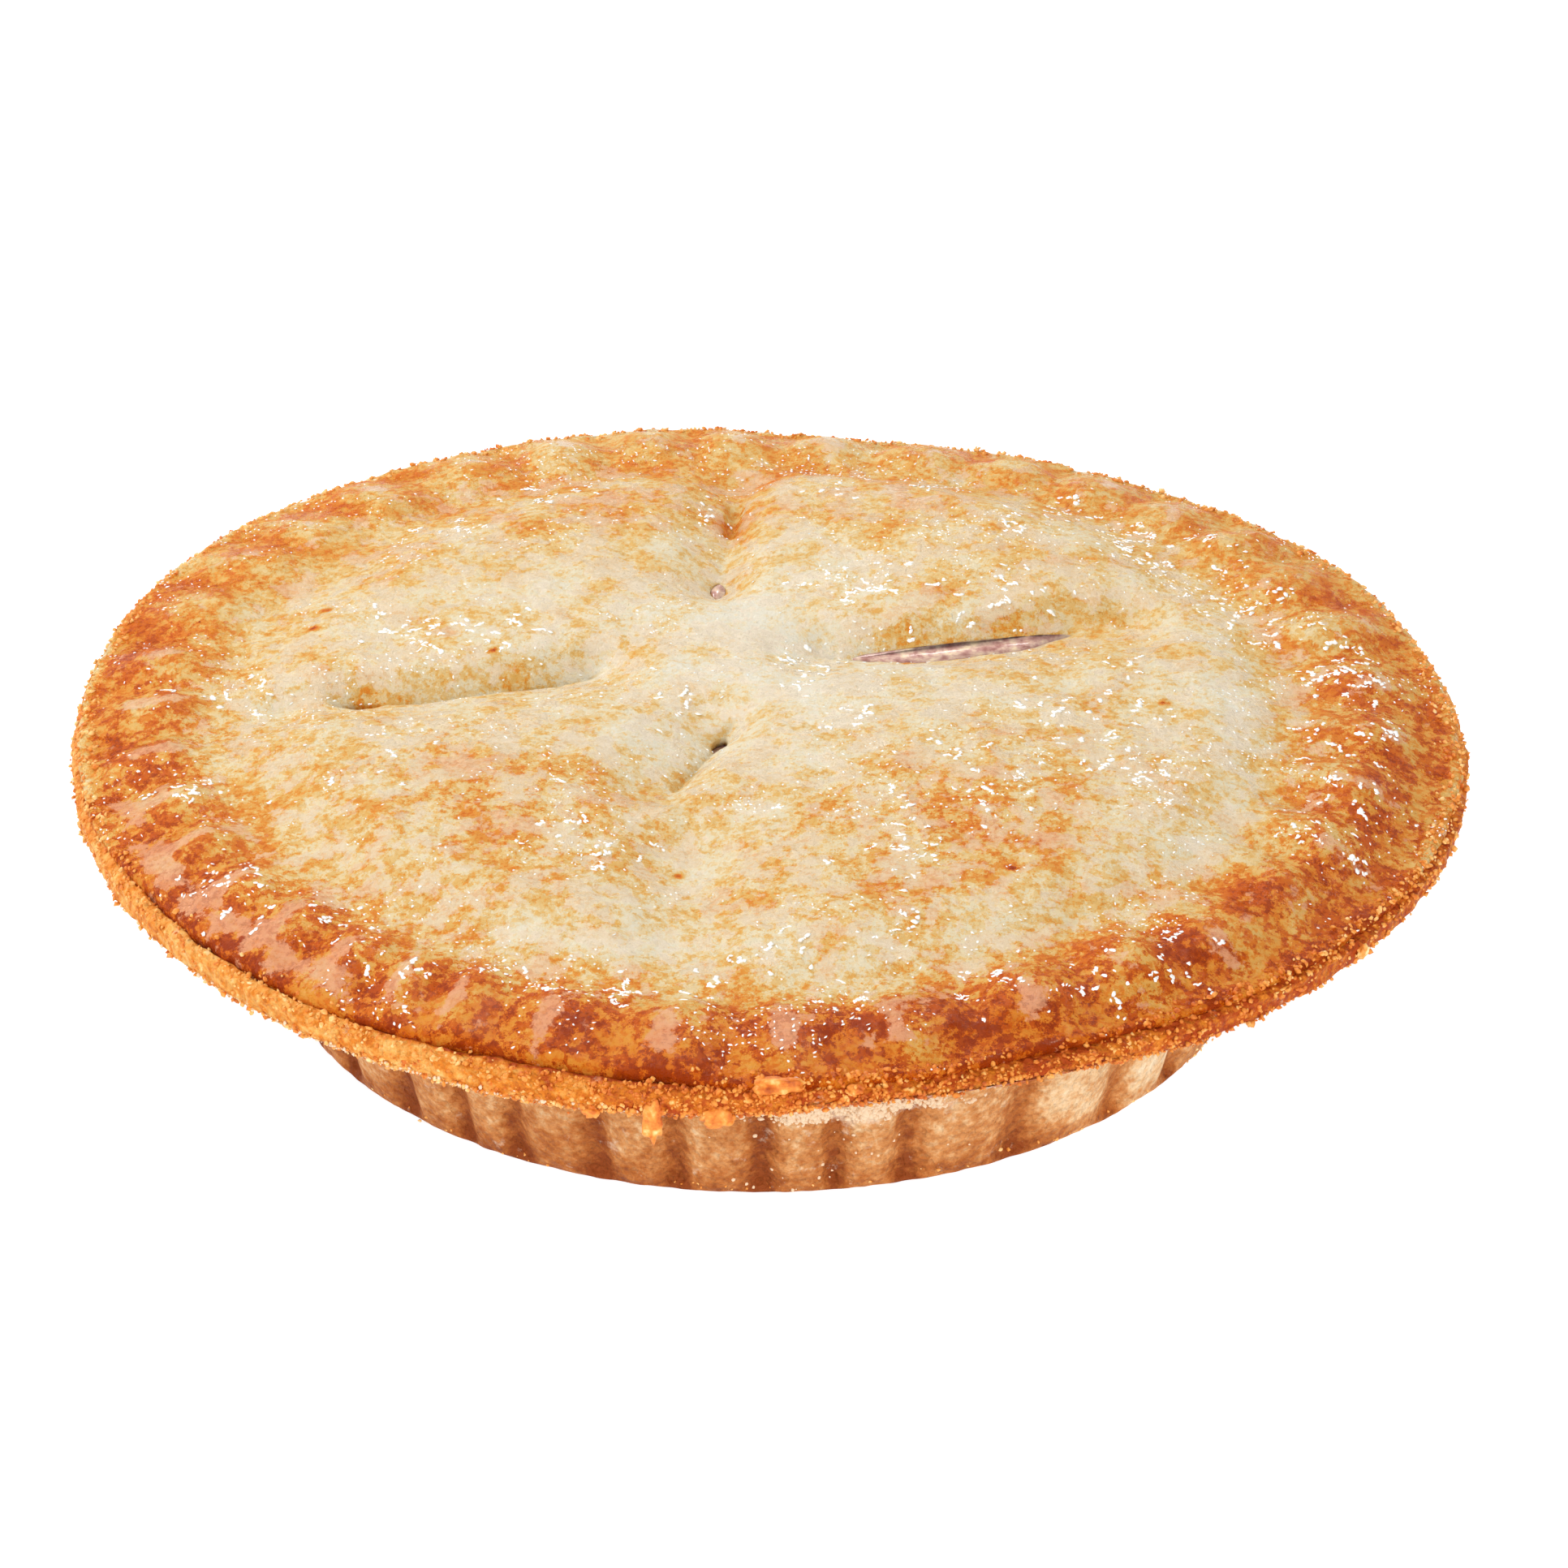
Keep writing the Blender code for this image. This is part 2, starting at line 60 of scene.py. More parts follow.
BASE_RADIUS = 73.6
BASE_EDGE = 1.4
WALL_TOP_RADIUS = 81.2
WALL_TOP_Z = 28.0
WALL_BEND_Z = 26.0  # where the wall turns outwards to carry the rim
CRUST_THICKNESS = 3.2
BOWL_FLOOR_RADIUS = BASE_RADIUS - 1.1 * CRUST_THICKNESS
BOWL_MOUTH_RADIUS = WALL_TOP_RADIUS - 1.4 * CRUST_THICKNESS
SEAT_Z = 31.6
BAND_TOP_Z = 33.7
BAND_BOTTOM_Z = 28.9
LOW_BAND = (0.5, 76, 32)  # share by which it stands up less, azimuth and width
THIN_BAND = (2.8, 17, 16, 5.5)  # rise, azimuth, width and reach inwards
LIP_CLEARANCE = -0.25  # the cut edge starts just inside the line where the lid ends
LIP_SHARE = 0.979
LIP_DIPS = ((0.018, -20, 12), (0.018, 26, 13))  # where the lid stops short: share, azimuth and width
FLUTE_COUNT = 36
FLUTE_DEPTH = 1.7
FLUTE_VALLEY_POWER = 2.5
FLUTES_IN_SIGHT = (-44.5, -35.8, -29.0, -18.5, -9.9, 0.0, 8.2, 16.0, 29.9, 44.4)
CRUST_STEPS = 960
FLOUR_LINE_Z = (16.4, 1.5)  # height of the floured stretch of the wall and half its width
FOOT_Z = (1.5, 0.6)  # the same for the crumbs at the foot
TOASTED = ((0.11, -45, 24), (-0.28, 52, 14), (0.06, 0, 25))  # how much browner, azimuth and width


def smooth(value, low, high):
    """0 below low, 1 above high, with no corner between."""
    t = np.clip((value - low) / (high - low), 0, 1)
    return t * t * (3 - 2 * t)


def bump(azimuth, middle, width):
    """1 at a middle given in degrees, falling to 0 on both sides of it, over a width in degrees."""
    away = (azimuth - math.radians(middle) + math.pi) % TURN - math.pi
    return np.exp(-((away / math.radians(width)) ** 2))


def plan_share(azimuth):
    """The rim's radius at this azimuth, as a share of the mean: a little oval and a little egg-shaped."""
    oval = OVAL[0] * np.cos(2 * (azimuth - OVAL[1]))
    return 1 + oval + EGG[0] * np.cos(3 * (azimuth - EGG[1]))


def placed(radius, azimuth, height):
    """Points of the round pie in its uneven plan."""
    share = 1 + (plan_share(azimuth) - 1) * (radius / PIE_RADIUS) ** PLAN_POWER
    return np.stack([radius * share * np.sin(azimuth), -radius * share * np.cos(azimuth), height], 1)


def unplaced(x, y):
    """Radius and azimuth in the round pie of a place in the uneven plan."""
    azimuth = np.arctan2(x, -y)
    seen = np.hypot(x, y)
    radius = seen
    for _ in range(6):
        radius = seen / (1 + (plan_share(azimuth) - 1) * (radius / PIE_RADIUS) ** PLAN_POWER)
    return radius, azimuth


def spaced_round(seen, count, seed):
    """Azimuths of all the repeats: those in sight as they are, the rest spread evenly over what is left."""
    draw = random.Random(seed)
    first, last = math.radians(seen[0]), math.radians(seen[-1])
    hidden = count - len(seen)
    pitch = (TURN - (last - first)) / (hidden + 1)
    uneven = 0.14 * pitch
    behind = [last + pitch * (i + 1) + draw.uniform(-uneven, uneven) for i in range(hidden)]
    return [math.radians(degrees) for degrees in seen] + behind


def phase_of(azimuth, marks):
    """How far each azimuth is from one mark to the next, from 0 to 1, and the number of that mark."""
    ends = np.array([*marks, marks[0] + TURN])
    turned_on = (azimuth - marks[0]) % TURN + marks[0]
    number = np.clip(np.searchsorted(ends, turned_on, side="right") - 1, 0, len(marks) - 1)
    return (turned_on - ends[number]) / (ends[number + 1] - ends[number]), number


def grain(places, size, seed):
    """Smooth noise from -1 to 1 at each place, whose lumps are about size across."""
    shift = np.array([seed * 17.3, seed * 5.9, seed * 11.1])
    return np.array([noise.noise(Vector(p)) for p in places / size + shift])


def lip_share(azimuth):
    """Where the lid ends, as a share of the pie's radius."""
    return LIP_SHARE - sum(short * bump(azimuth, at, width) for short, at, width in LIP_DIPS)


def outer_line(height):
    """Radius of the plain wall at a height, without its flutes."""
    t = (height - BASE_EDGE) / (WALL_TOP_Z - BASE_EDGE)
    return BASE_RADIUS + (WALL_TOP_RADIUS - BASE_RADIUS) * t


def between(start, end, count):
    """Points that lead from one point of a section to the next, without the last."""
    return [tuple(np.array(start) + (np.array(end) - np.array(start)) * i / count) for i in range(count)]


def turned(section, steps):
    """A body turned from a section of (radius, height) points that runs down its outer side."""
    bm = bmesh.new()
    line = [bm.verts.new((radius, 0, height)) for radius, height in section]
    edges = [bm.edges.new(pair) for pair in zip(line, line[1:])]
    bmesh.ops.spin(bm, geom=line + edges, angle=TURN, steps=steps, axis=(0, 0, 1), use_merge=True)
    bmesh.ops.remove_doubles(bm, verts=bm.verts, dist=0.0005)
    bmesh.ops.recalc_face_normals(bm, faces=bm.faces)
    return bm


def corners(bm):
    """The places of a mesh's vertices, one row each."""
    return np.array([v.co for v in bm.verts])


def reshape(bm, places):
    """Moves a mesh's vertices to new places."""
    for v, place in zip(bm.verts, places):
        v.co = place


def finished(name, bm, node, material, tones=None):
    """The object made from a mesh in millimetres, with its tones as attributes, riding on the pie."""
    bmesh.ops.translate(bm, verts=bm.verts, vec=(*-PLAN_MIDDLE, 0))
    bmesh.ops.scale(bm, verts=bm.verts, vec=(0.001, 0.001, 0.001))
    mesh = bpy.data.meshes.new(name)
    bm.to_mesh(mesh)
    bm.free()
    mesh.shade_smooth()
    mesh.materials.append(material)
    for tone, values in (tones or {}).items():
        mesh.attributes.new(tone, "FLOAT", "POINT").data.foreach_set("value", values.astype(np.float32))
    piece = bpy.data.objects.new(name, mesh)
    bpy.context.scene.collection.objects.link(piece)
    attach(piece, "root")
    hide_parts(node)
    return piece


def linear(code):
    """A colour from its sRGB hex code."""
    parts = [int(code[i : i + 2], 16) / 255 for i in (1, 3, 5)]
    return (*(c / 12.92 if c <= 0.04045 else ((c + 0.055) / 1.055) ** 2.4 for c in parts), 1)


def add(material, kind, inputs, stops=None, **settings):
    """Adds a node with its settings. An input is a value or another node's output, and stops fill a ramp."""
    node = material.node_tree.nodes.new("ShaderNode" + kind)
    for name, value in settings.items():
        setattr(node, name, value)
    for name, value in inputs.items():
        if isinstance(value, bpy.types.NodeSocket):
            material.node_tree.links.new(value, node.inputs[name])
        else:
            node.inputs[name].default_value = value
    if stops:
        while len(node.color_ramp.elements) < len(stops):
            node.color_ramp.elements.new(0.5)
        for element, (position, code) in zip(node.color_ramp.elements, stops):
            element.position = position
            element.color = linear(code)
    return node


def new_material(name):
    """A material with no nodes yet."""
    material = bpy.data.materials.new(name)
    material.use_nodes = True
    material.node_tree.nodes.clear()
    return material


FLUTES = spaced_round(FLUTES_IN_SIGHT, FLUTE_COUNT, 5)
ROUND = np.radians(np.arange(0, 360, 0.25))
RIM_LINE = placed(np.full(len(ROUND), PIE_RADIUS), ROUND, np.zeros(len(ROUND)))[:, :2]
PLAN_MIDDLE = (RIM_LINE.min(0) + RIM_LINE.max(0)) / 2

lip = LIP_SHARE * PIE_RADIUS + LIP_CLEARANCE
band = PIE_RADIUS - lip
crust_section = [
    (0, CRUST_THICKNESS),
    (BOWL_FLOOR_RADIUS * 0.5, CRUST_THICKNESS),
    (BOWL_FLOOR_RADIUS, CRUST_THICKNESS),
    ((BOWL_FLOOR_RADIUS + BOWL_MOUTH_RADIUS) / 2, (CRUST_THICKNESS + SEAT_Z) / 2),
    (BOWL_MOUTH_RADIUS, SEAT_Z),
]
outer_corners = (  # from the lip over the cut edge and down the wall: radius, height, steps to the next one
    (lip, SEAT_Z, 3),
    (lip + 0.1 * band, BAND_TOP_Z - 0.4, 2),
    (lip + 0.35 * band, BAND_TOP_Z, 2),
    (PIE_RADIUS - 0.3 * band, BAND_TOP_Z - 0.3, 3),
    (PIE_RADIUS, BAND_TOP_Z - 1, 5),
    (PIE_RADIUS - 0.3, BAND_BOTTOM_Z + 0.8, 3),
    (PIE_RADIUS - 1.6, BAND_BOTTOM_Z - 0.2, 4),
    (PIE_RADIUS - THIN_BAND[3], BAND_BOTTOM_Z - 0.5, 5),
    (WALL_TOP_RADIUS + 2.5, WALL_TOP_Z, 5),
    (outer_line(WALL_BEND_Z), WALL_BEND_Z, 34),
    (BASE_RADIUS, BASE_EDGE, 3),
    (BASE_RADIUS - 0.5, 0.4, 1),
)
for (*start, count), (*end, _) in zip(outer_corners, outer_corners[1:]):
    crust_section += between(start, end, count)
crust_section += [(BASE_RADIUS - 0.5, 0.4), (BASE_RADIUS - BASE_EDGE, 0), (BASE_RADIUS * 0.5, 0), (0, 0)]


def flute_valley(azimuth):
    """1 in the valley between two flutes, 0 on their crests."""
    phase, _ = phase_of(azimuth, FLUTES)
    return (0.5 + 0.5 * np.cos(TURN * phase)) ** FLUTE_VALLEY_POWER


def crust_shape(radius, azimuth, height):
    """The bottom crust's form: flutes, lip line and the thin stretch of the cut edge."""
    outside = (radius > outer_line(height) - 0.9) & (height < WALL_TOP_Z)
    on_wall = smooth(height, 0.2, 2.2) * (1 - smooth(height, 22, WALL_TOP_Z)) * outside
    fluted = radius - FLUTE_DEPTH * flute_valley(azimuth) * on_wall
    by_lid = (height > SEAT_Z - 0.1) & (radius > lip - 0.1)
    lip_here = lip_share(azimuth) * PIE_RADIUS + LIP_CLEARANCE
    fluted = np.where(by_lid, lip_here + (radius - lip) / band * (PIE_RADIUS - lip_here), fluted)
    standing = np.maximum(height - SEAT_Z, 0) * (1 - LOW_BAND[0] * bump(azimuth, *LOW_BAND[1:]))
    height = np.where(by_lid, SEAT_Z + standing, height)
    rise, at, width, reach = THIN_BAND
    on_face = (fluted > PIE_RADIUS - 0.1) | ((height < SEAT_Z - 0.1) & (fluted > PIE_RADIUS - reach))
    low = (1 - smooth(height, BAND_BOTTOM_Z, BAND_TOP_Z - 1)) * on_face
    reached = smooth(fluted, PIE_RADIUS - reach, PIE_RADIUS - 1)
    raised = height + rise * bump(azimuth, at, width) * low * reached
    return fluted, raised


crust = turned(crust_section, CRUST_STEPS)
flat = corners(crust)
radius, azimuth, height = np.hypot(flat[:, 0], flat[:, 1]), np.arctan2(flat[:, 0], -flat[:, 1]), flat[:, 2]
fluted, raised = crust_shape(radius, azimuth, height)
places = placed(fluted, azimuth, raised)
in_band = smooth(fluted, WALL_TOP_RADIUS + 6, WALL_TOP_RADIUS + 10) * (height > BAND_BOTTOM_Z - 0.6)
in_band *= 1 - (np.abs(height - SEAT_Z) < 0.05)
on_outside = (height > 0.3) & (fluted > outer_line(height) - 3) & (height < BAND_BOTTOM_Z)
crumb = 0.35 * grain(places, 6.0, 8) + 0.30 * grain(places, 3.2, 1) + 0.22 * grain(places, 1.3, 2)
wall_grain = 0.16 * grain(places, 4.5, 3) + 0.07 * grain(places, 1.4, 4)
ragged = smooth(height, 3.0, 0.3) * (0.25 * grain(places, 2.2, 5) - 0.1)
out = crumb * in_band + (wall_grain + ragged) * on_outside
up = (0.28 * grain(places, 4.0, 6) + 0.18 * grain(places, 1.5, 7)) * in_band
reshape(crust, placed(fluted + out, azimuth, raised + up))

# Tones of the crust: toast is how brown the wall baked, browned the same for the cut edge, with painted shade
# in the groove beside the lid at the front left, and floury where flour lies on the wall.
valley = flute_valley(azimuth)
toast = 0.44 + 0.38 * valley**1.7 * smooth(height, 27, 18) + 0.24 * smooth(height, 7, 0.5)
for browner, degrees, width in TOASTED:
    toast += browner * bump(azimuth, degrees, width)
browned = 0.62 * smooth(azimuth, math.radians(-30), math.radians(5))
browned = 0.08 + browned * smooth(azimuth, math.radians(100), math.radians(65))
# Painted shade: the cut edge is painted red-brown right beside the lid, where the groove is, at the front
# left.
groove_shade = smooth(lip + 0.30 * band - fluted, 0, 0.3 * band) * (height > SEAT_Z) * (fluted > lip - 1)
groove_shade = groove_shade * bump(azimuth, -36, 34)
floury = bump(azimuth, 9, 10) * (0.25 + 0.8 * smooth(height, 12.5, 16))
floury += 0.25 * bump(azimuth, -18, 20) * smooth(height, 13, 16)
crust_tones = {
    "toast": toast,
    "cut_edge": np.clip(in_band, 0, 1),
    "browned": browned + 0.8 * groove_shade,
    "floury": floury * on_outside,
}
crust.normal_update()
crust_places, crust_normals = corners(crust), np.array([v.normal for v in crust.verts])
crust_parts = {
    "band": (in_band > 0.5) & (fluted > lip + 0.05 * band) & (raised > BAND_BOTTOM_Z - 0.4),
    "band_bottom": (raised < BAND_BOTTOM_Z + 1.2) & (fluted > PIE_RADIUS - 3) & (in_band > 0.2),
    "wall": on_outside & (height < WALL_TOP_Z - 1) & (height > 1),
    "under_band": on_outside & (np.abs(height - FLOUR_LINE_Z[0]) < FLOUR_LINE_Z[1]),
    "foot": on_outside & (np.abs(height - FOOT_Z[0]) < FOOT_Z[1]),
}

tan_crust = new_material("tan_shortcrust")
# Bare shortcrust baked against a pan: matt, tan with browner hollows, mottled by clouds of 11 mm and specks
# of 1.6 mm, with a bloom of flour. The cut edge is lighter and yellower, an open crumb of pieces about 1 mm
# across.
place = add(tan_crust, "TexCoord", {}).outputs["Object"]
cloud = add(tan_crust, "TexNoise", {"Vector": place, "Scale": 1 / 0.011, "Detail": 4, "Roughness": 0.6})
speck = add(tan_crust, "TexNoise", {"Vector": place, "Scale": 1 / 0.0016, "Detail": 4, "Roughness": 0.65})
toasted = add(tan_crust, "Attribute", {}, attribute_name="toast").outputs["Fac"]
edge = add(tan_crust, "Attribute", {}, attribute_name="cut_edge").outputs["Fac"]
clouded = add(tan_crust, "Math", {0: cloud.outputs["Fac"], 1: 0.9, 2: toasted}, operation="MULTIPLY_ADD")
speckled = add(tan_crust, "Math", {0: speck.outputs["Fac"], 1: clouded.outputs[0]}, operation="ADD")
centred = add(tan_crust, "Math", {0: speckled.outputs[0], 1: 0.925}, operation="SUBTRACT")
wall_colour = add(
    tan_crust,
    "ValToRGB",
    {"Fac": centred.outputs[0]},
    stops=((0.0, "#F4DCB8"), (0.3, "#E6BC8A"), (0.5, "#D08E52"), (0.72, "#B4682C"), (1.0, "#8C4214")),
)
crumbs = add(tan_crust, "TexVoronoi", {"Vector": place, "Scale": 1 / 0.0011, "Randomness": 1})
crumb_tone = add(tan_crust, "Math", {0: speck.outputs["Fac"], 1: 1.1, 2: -0.05}, operation="MULTIPLY_ADD")
crumb_sum = add(
    tan_crust, "Math", {0: cloud.outputs["Fac"], 1: 0.6, 2: crumb_tone.outputs[0]}, operation="MULTIPLY_ADD"
)
browned_tone = add(tan_crust, "Attribute", {}, attribute_name="browned").outputs["Fac"]
crumb_sum = add(
    tan_crust, "Math", {0: browned_tone, 1: 0.5, 2: crumb_sum.outputs[0]}, operation="MULTIPLY_ADD"
)
crumb_mid = add(tan_crust, "Math", {0: crumb_sum.outputs[0], 1: 0.3}, operation="SUBTRACT")
edge_colour = add(
    tan_crust,
    "ValToRGB",
    {"Fac": crumb_mid.outputs[0]},
    stops=((0.15, "#F6D092"), (0.42, "#ECAC58"), (0.64, "#DC7E20"), (0.9, "#AC420A")),
)
crust_colour = add(
    tan_crust, "Mix", {"Factor": edge, 6: wall_colour.outputs[0], 7: edge_colour.outputs[0]}, data_type="RGBA"
)
dust = add(tan_crust, "TexNoise", {"Vector": place, "Scale": 1 / 0.004, "Detail": 7, "Roughness": 0.7})
dusted = add(tan_crust, "Attribute", {}, attribute_name="floury").outputs["Fac"]
dust = add(tan_crust, "Math", {0: dusted, 1: 0.22, 2: dust.outputs["Fac"]}, operation="MULTIPLY_ADD")
dust = add(
    tan_crust, "MapRange", {"Value": dust.outputs[0], "From Min": 0.62, "From Max": 0.74, "To Max": 0.6}
)
crust_colour = add(
    tan_crust,
    "Mix",
    {"Factor": dust.outputs[0], 6: crust_colour.outputs[2], 7: linear("#F0D8BC")},
    data_type="RGBA",
)
fine = add(tan_crust, "TexNoise", {"Vector": place, "Scale": 1 / 0.0006, "Detail": 3, "Roughness": 0.6})
fine_bump = add(tan_crust, "Bump", {"Height": fine.outputs["Fac"], "Strength": 0.9, "Distance": 0.0004})
pits = add(
    tan_crust,
    "Bump",
    {
        "Height": crumbs.outputs["Distance"],
        "Strength": 0.9,
        "Distance": 0.0007,
        "Normal": fine_bump.outputs[0],
    },
)
surface = add(
    tan_crust,
    "BsdfPrincipled",
    {
        "Base Color": crust_colour.outputs[2],
        "Roughness": 0.62,
        "IOR": 1.45,
        "Specular IOR Level": 0.2,
        "Normal": pits.outputs[0],
    },
)
add(tan_crust, "OutputMaterial", {"Surface": surface.outputs[0]})

finished("bottom_crust_baked", crust, "bottom_crust", tan_crust, crust_tones)

# ------------------------------------------------------------------------------------------------------------
# Top crust. A sheet of shortcrust brushed with egg wash. It puffed up into four lobes between the vents that
# were cut before baking, and its rim is pressed into knuckles and baked orange-brown.

LIP_DROP = 3.1
LIP_START = 0.865  # where the rim starts to slope down to its lip, as a share of the pie's radius
LIP_LIFT_BEHIND = 1.0
LIP_DROP_RIGHT = (1.3, 72, 34)  # how much further it drops, azimuth and width
RIM_Z = 38.2
# Where the rim stands higher or lower: rise, azimuth and width.
RIM_HEAVES = ((1.2, -118, 16), (1.5, 117, 14), (-1.2, 172, 10))
# The middle of the stretch where the lip stops short of the cut edge, and how far from it the lip starts to
# lie over the edge and lies over it whole.
DRAPE = (math.radians(-36), math.radians(25), math.radians(38))
DRAPE_REACH = 0.012
MIDDLE_RISE = 3.4
MIDDLE_EDGE = (0.64, 0.81)  # shares of the radius between which the raised middle comes down to the rim
LID_THICKNESS = 3.4
LID_CLEARANCE = 0.3
CRIMP_COUNT = 38
CRIMP_RISE = 1.5
CRIMP_UNEVEN = 0.35
CRIMPS_IN_SIGHT = (  # azimuths of the knuckles in degrees
    -81.7, -73.2, -64.6, -56.5, -48.2, -40.0, -33.4, -27.5, -18.8, -7.7,
    2.9, 13.0, 25.9, 36.6, 46.4, 57.1, 65.7, 76.6, 86.7,
)
CRIMP_REACH = 0.075
CRIMP_MIDDLE = 0.898
CRIMP_INSET = (0.055, 62, 42)  # how much further in they sit, azimuth and width
LOBES = ((-36, 40, 24, 1.3), (33, 45, 23, 2.1), (-38, -26, 25, 1.9), (30, -22, 28, 2.6))  # x, y, spread, rise
# Each vent's inner and outer end, bow to the left, the stretch that stands open and its width, width of the
# valley to the left and to the right, depth of the valley and of the crease in it, and how far below the
# crease the jam stands.
VENTS = (
    ((-7.0, 36.0), (-4.2, 67.0), 0.0, (0.0, 0.16), 2.4, 6.5, 5.0, 3.0, 0.8, 0.1),
    ((-26.0, 12.0), (-63.0, 3.5), 2.0, (0.84, 1.0), 2.2, 9.0, 4.0, 3.1, 1.5, 1.4),
    ((-5.5, -7.0), (-12.5, -23.5), 0.0, (0.0, 0.24), 2.2, 4.5, 8.0, 2.8, 1.4, 1.0),
    ((9.0, 18.0), (47.0, 24.5), -2.4, (0.12, 1.0), 4.6, 4.8, 10.0, 3.4, 0.9, 0.1),
)
NOTCH = ((-4.9, 57.0), (-4.2, 65.0), 1.4, 1.7)  # the outer end of the back vent: ends, width and depth
VALLEY_REACH = 1.22
FRONT_FOLD = ((-10.0, -44.0), (-10.5, -66.0), 9.0, 2.8)  # its ends, width and depth
CREASE_WIDTH = 1.5
LID_STEPS = 640
PATCHES = (  # how much browner the lid baked than round about, x, y, and the reach along x and y
    (-0.13, 2, 14, 15, 30), (0.14, -36, -33, 20, 20), (0.15, 28, -40, 26, 26), (0.09, 30, 31, 20, 7),
)
RIM_PATCHES = ((0.08, 2, 34), (-0.14, 180, 75))  # the same on the rim: azimuth and width
PINHOLES = (  # x and y of small burnt pits
    (-66.5, 28), (-68, 22), (-40.5, 13.5), (22, 15), (60, -3), (-12, -49), (36, -52),
)
PINHOLE_REACH = 0.7


def along_line(x, y, start, end, bow=0.0):
    """Place along a line, 0 at its start and 1 at its end, the distance to its left, and its length."""
    run, rise = end[0] - start[0], end[1] - start[1]
    length = math.hypot(run, rise)
    along = ((x - start[0]) * run + (y - start[1]) * rise) / length**2
    left = ((y - start[1]) * run - (x - start[0]) * rise) / length
    return along, left - bow * np.clip(1 - (2 * along - 1) ** 2, 0, 1), length


def by_line(x, y, line, reach, left_width, right_width):
    """1 on a line, falling to 0 within its width on either side and round its ends."""
    along, left, length = along_line(x, y, *line)
    past = (along - np.clip(along, 0, reach)) * length
    width = left_width + (right_width - left_width) * smooth(-left, -1.5, 1.5)
    return np.exp(-((left / width) ** 2) - (past / ((left_width + right_width) / 2)) ** 2)


def valleys(x, y):
    """How deep the dough sank along the vents and in the fold between the front lobes."""
    depth = FRONT_FOLD[3] * by_line(x, y, FRONT_FOLD[:2], 1, FRONT_FOLD[2], FRONT_FOLD[2])
    for inner, outer, bow, _, _, left_width, right_width, sunk, *_ in VENTS:
        line = (inner, outer, bow)
        depth = np.maximum(depth, sunk * by_line(x, y, line, VALLEY_REACH, left_width, right_width))
    return depth


def creases(x, y):
    """The tight folds right at the cuts, where the dough rolls down into them."""
    depth = 0 * x
    for inner, outer, bow, opening, cut, *_, sunk, _ in VENTS:
        along, left, length = along_line(x, y, inner, outer, bow)
        t = (along - opening[0]) / (opening[1] - opening[0])
        beyond = np.abs(left) - cut / 2 * np.clip(1 - (2 * t - 1) ** 2, 0, 1)
        past = (along - np.clip(along, 0, 1)) * length
        sharp = np.exp(-np.maximum(beyond, 0) / CREASE_WIDTH - (past / CREASE_WIDTH) ** 2)
        depth = np.maximum(depth, sunk * sharp)
    return np.maximum(depth, NOTCH[3] * by_line(x, y, (*NOTCH[:2], 0), 1, NOTCH[2], NOTCH[2]))


def lobes(x, y):
    """How high the dough puffed up between the vents."""
    return sum(
        rise * np.exp(-((x - at_x) ** 2 + (y - at_y) ** 2) / spread**2) for at_x, at_y, spread, rise in LOBES
    )


def knuckles(azimuth):
    """1 on the middle of a knuckle, 0 between two."""
    phase, _ = phase_of(azimuth, CRIMPS)
    return 0.5 + 0.5 * np.cos(TURN * phase)


def knuckle_size(azimuth):
    """How large the knuckle at each azimuth came out, about 1."""
    phase, number = phase_of(azimuth, CRIMPS)
    size = np.array([*CRIMP_SIZES, CRIMP_SIZES[0]])
    return size[number] * (1 - phase) + size[number + 1] * phase


def crimp(share, azimuth):
    """Height of the pressed knuckles of the rim."""
    middle = CRIMP_MIDDLE - CRIMP_INSET[0] * bump(azimuth, *CRIMP_INSET[1:])
    away = (share - middle) / CRIMP_REACH
    return CRIMP_RISE * knuckle_size(azimuth) * knuckles(azimuth) ** 0.7 * np.exp(-(away**4))


def drape(azimuth):
    """0 at the front, where the lip stops beside the cut edge, and 1 where it lies over it."""
    at, near, far = DRAPE
    away = np.abs((azimuth - at + math.pi) % TURN - math.pi)
    return smooth(away, near, far)


def lid_form(radius, azimuth):
    """Height of the lid's upper surface without its small relief."""
    share = radius / PIE_RADIUS
    x, y = placed(radius, azimuth, radius)[:, :2].T
    inside = 1 - smooth(share, *MIDDLE_EDGE)
    form = MIDDLE_RISE * inside + (lobes(x, y) - valleys(x, y)) * (1 - smooth(share, 0.70, 0.86))
    behind = smooth(-np.cos(azimuth), -0.3, 0.2)
    heave = sum(rise * bump(azimuth, at, width) for rise, at, width in RIM_HEAVES)
    rim = RIM_Z + heave * smooth(share, 0.70, 0.86)
    drop = LIP_DROP - LIP_LIFT_BEHIND * behind + LIP_DROP_RIGHT[0] * bump(azimuth, *LIP_DROP_RIGHT[1:])
    return rim + form - drop * smooth(share, LIP_START, lip_share(azimuth)) + crimp(share, azimuth)


def lid_relief(x, y, share):
    """Blisters, lumps and the creases at the vents, which stand on the form."""
    spot = np.stack([x, y, 0 * x], 1)
    blisters = 0.38 * grain(spot, 11, 21) + 0.28 * grain(spot, 5, 22)
    lumps = 0.20 * grain(spot, 2.5, 23) + 0.10 * grain(spot, 1.2, 24)
    lumps += 0.32 * smooth(share, 0.78, 0.86) * grain(spot, 3.8, 25)
    broken = 0.28 * smooth(share, 0.955, 0.975) * grain(spot, 1.6, 26)
    return blisters * (1 - 0.4 * smooth(share, 0.8, 0.9)) + lumps + broken - creases(x, y)


def lid_surface(radius, azimuth):
    """Height of the lid's upper surface with all its relief."""
    x, y = placed(radius, azimuth, radius)[:, :2].T
    return lid_form(radius, azimuth) + lid_relief(x, y, radius / PIE_RADIUS)


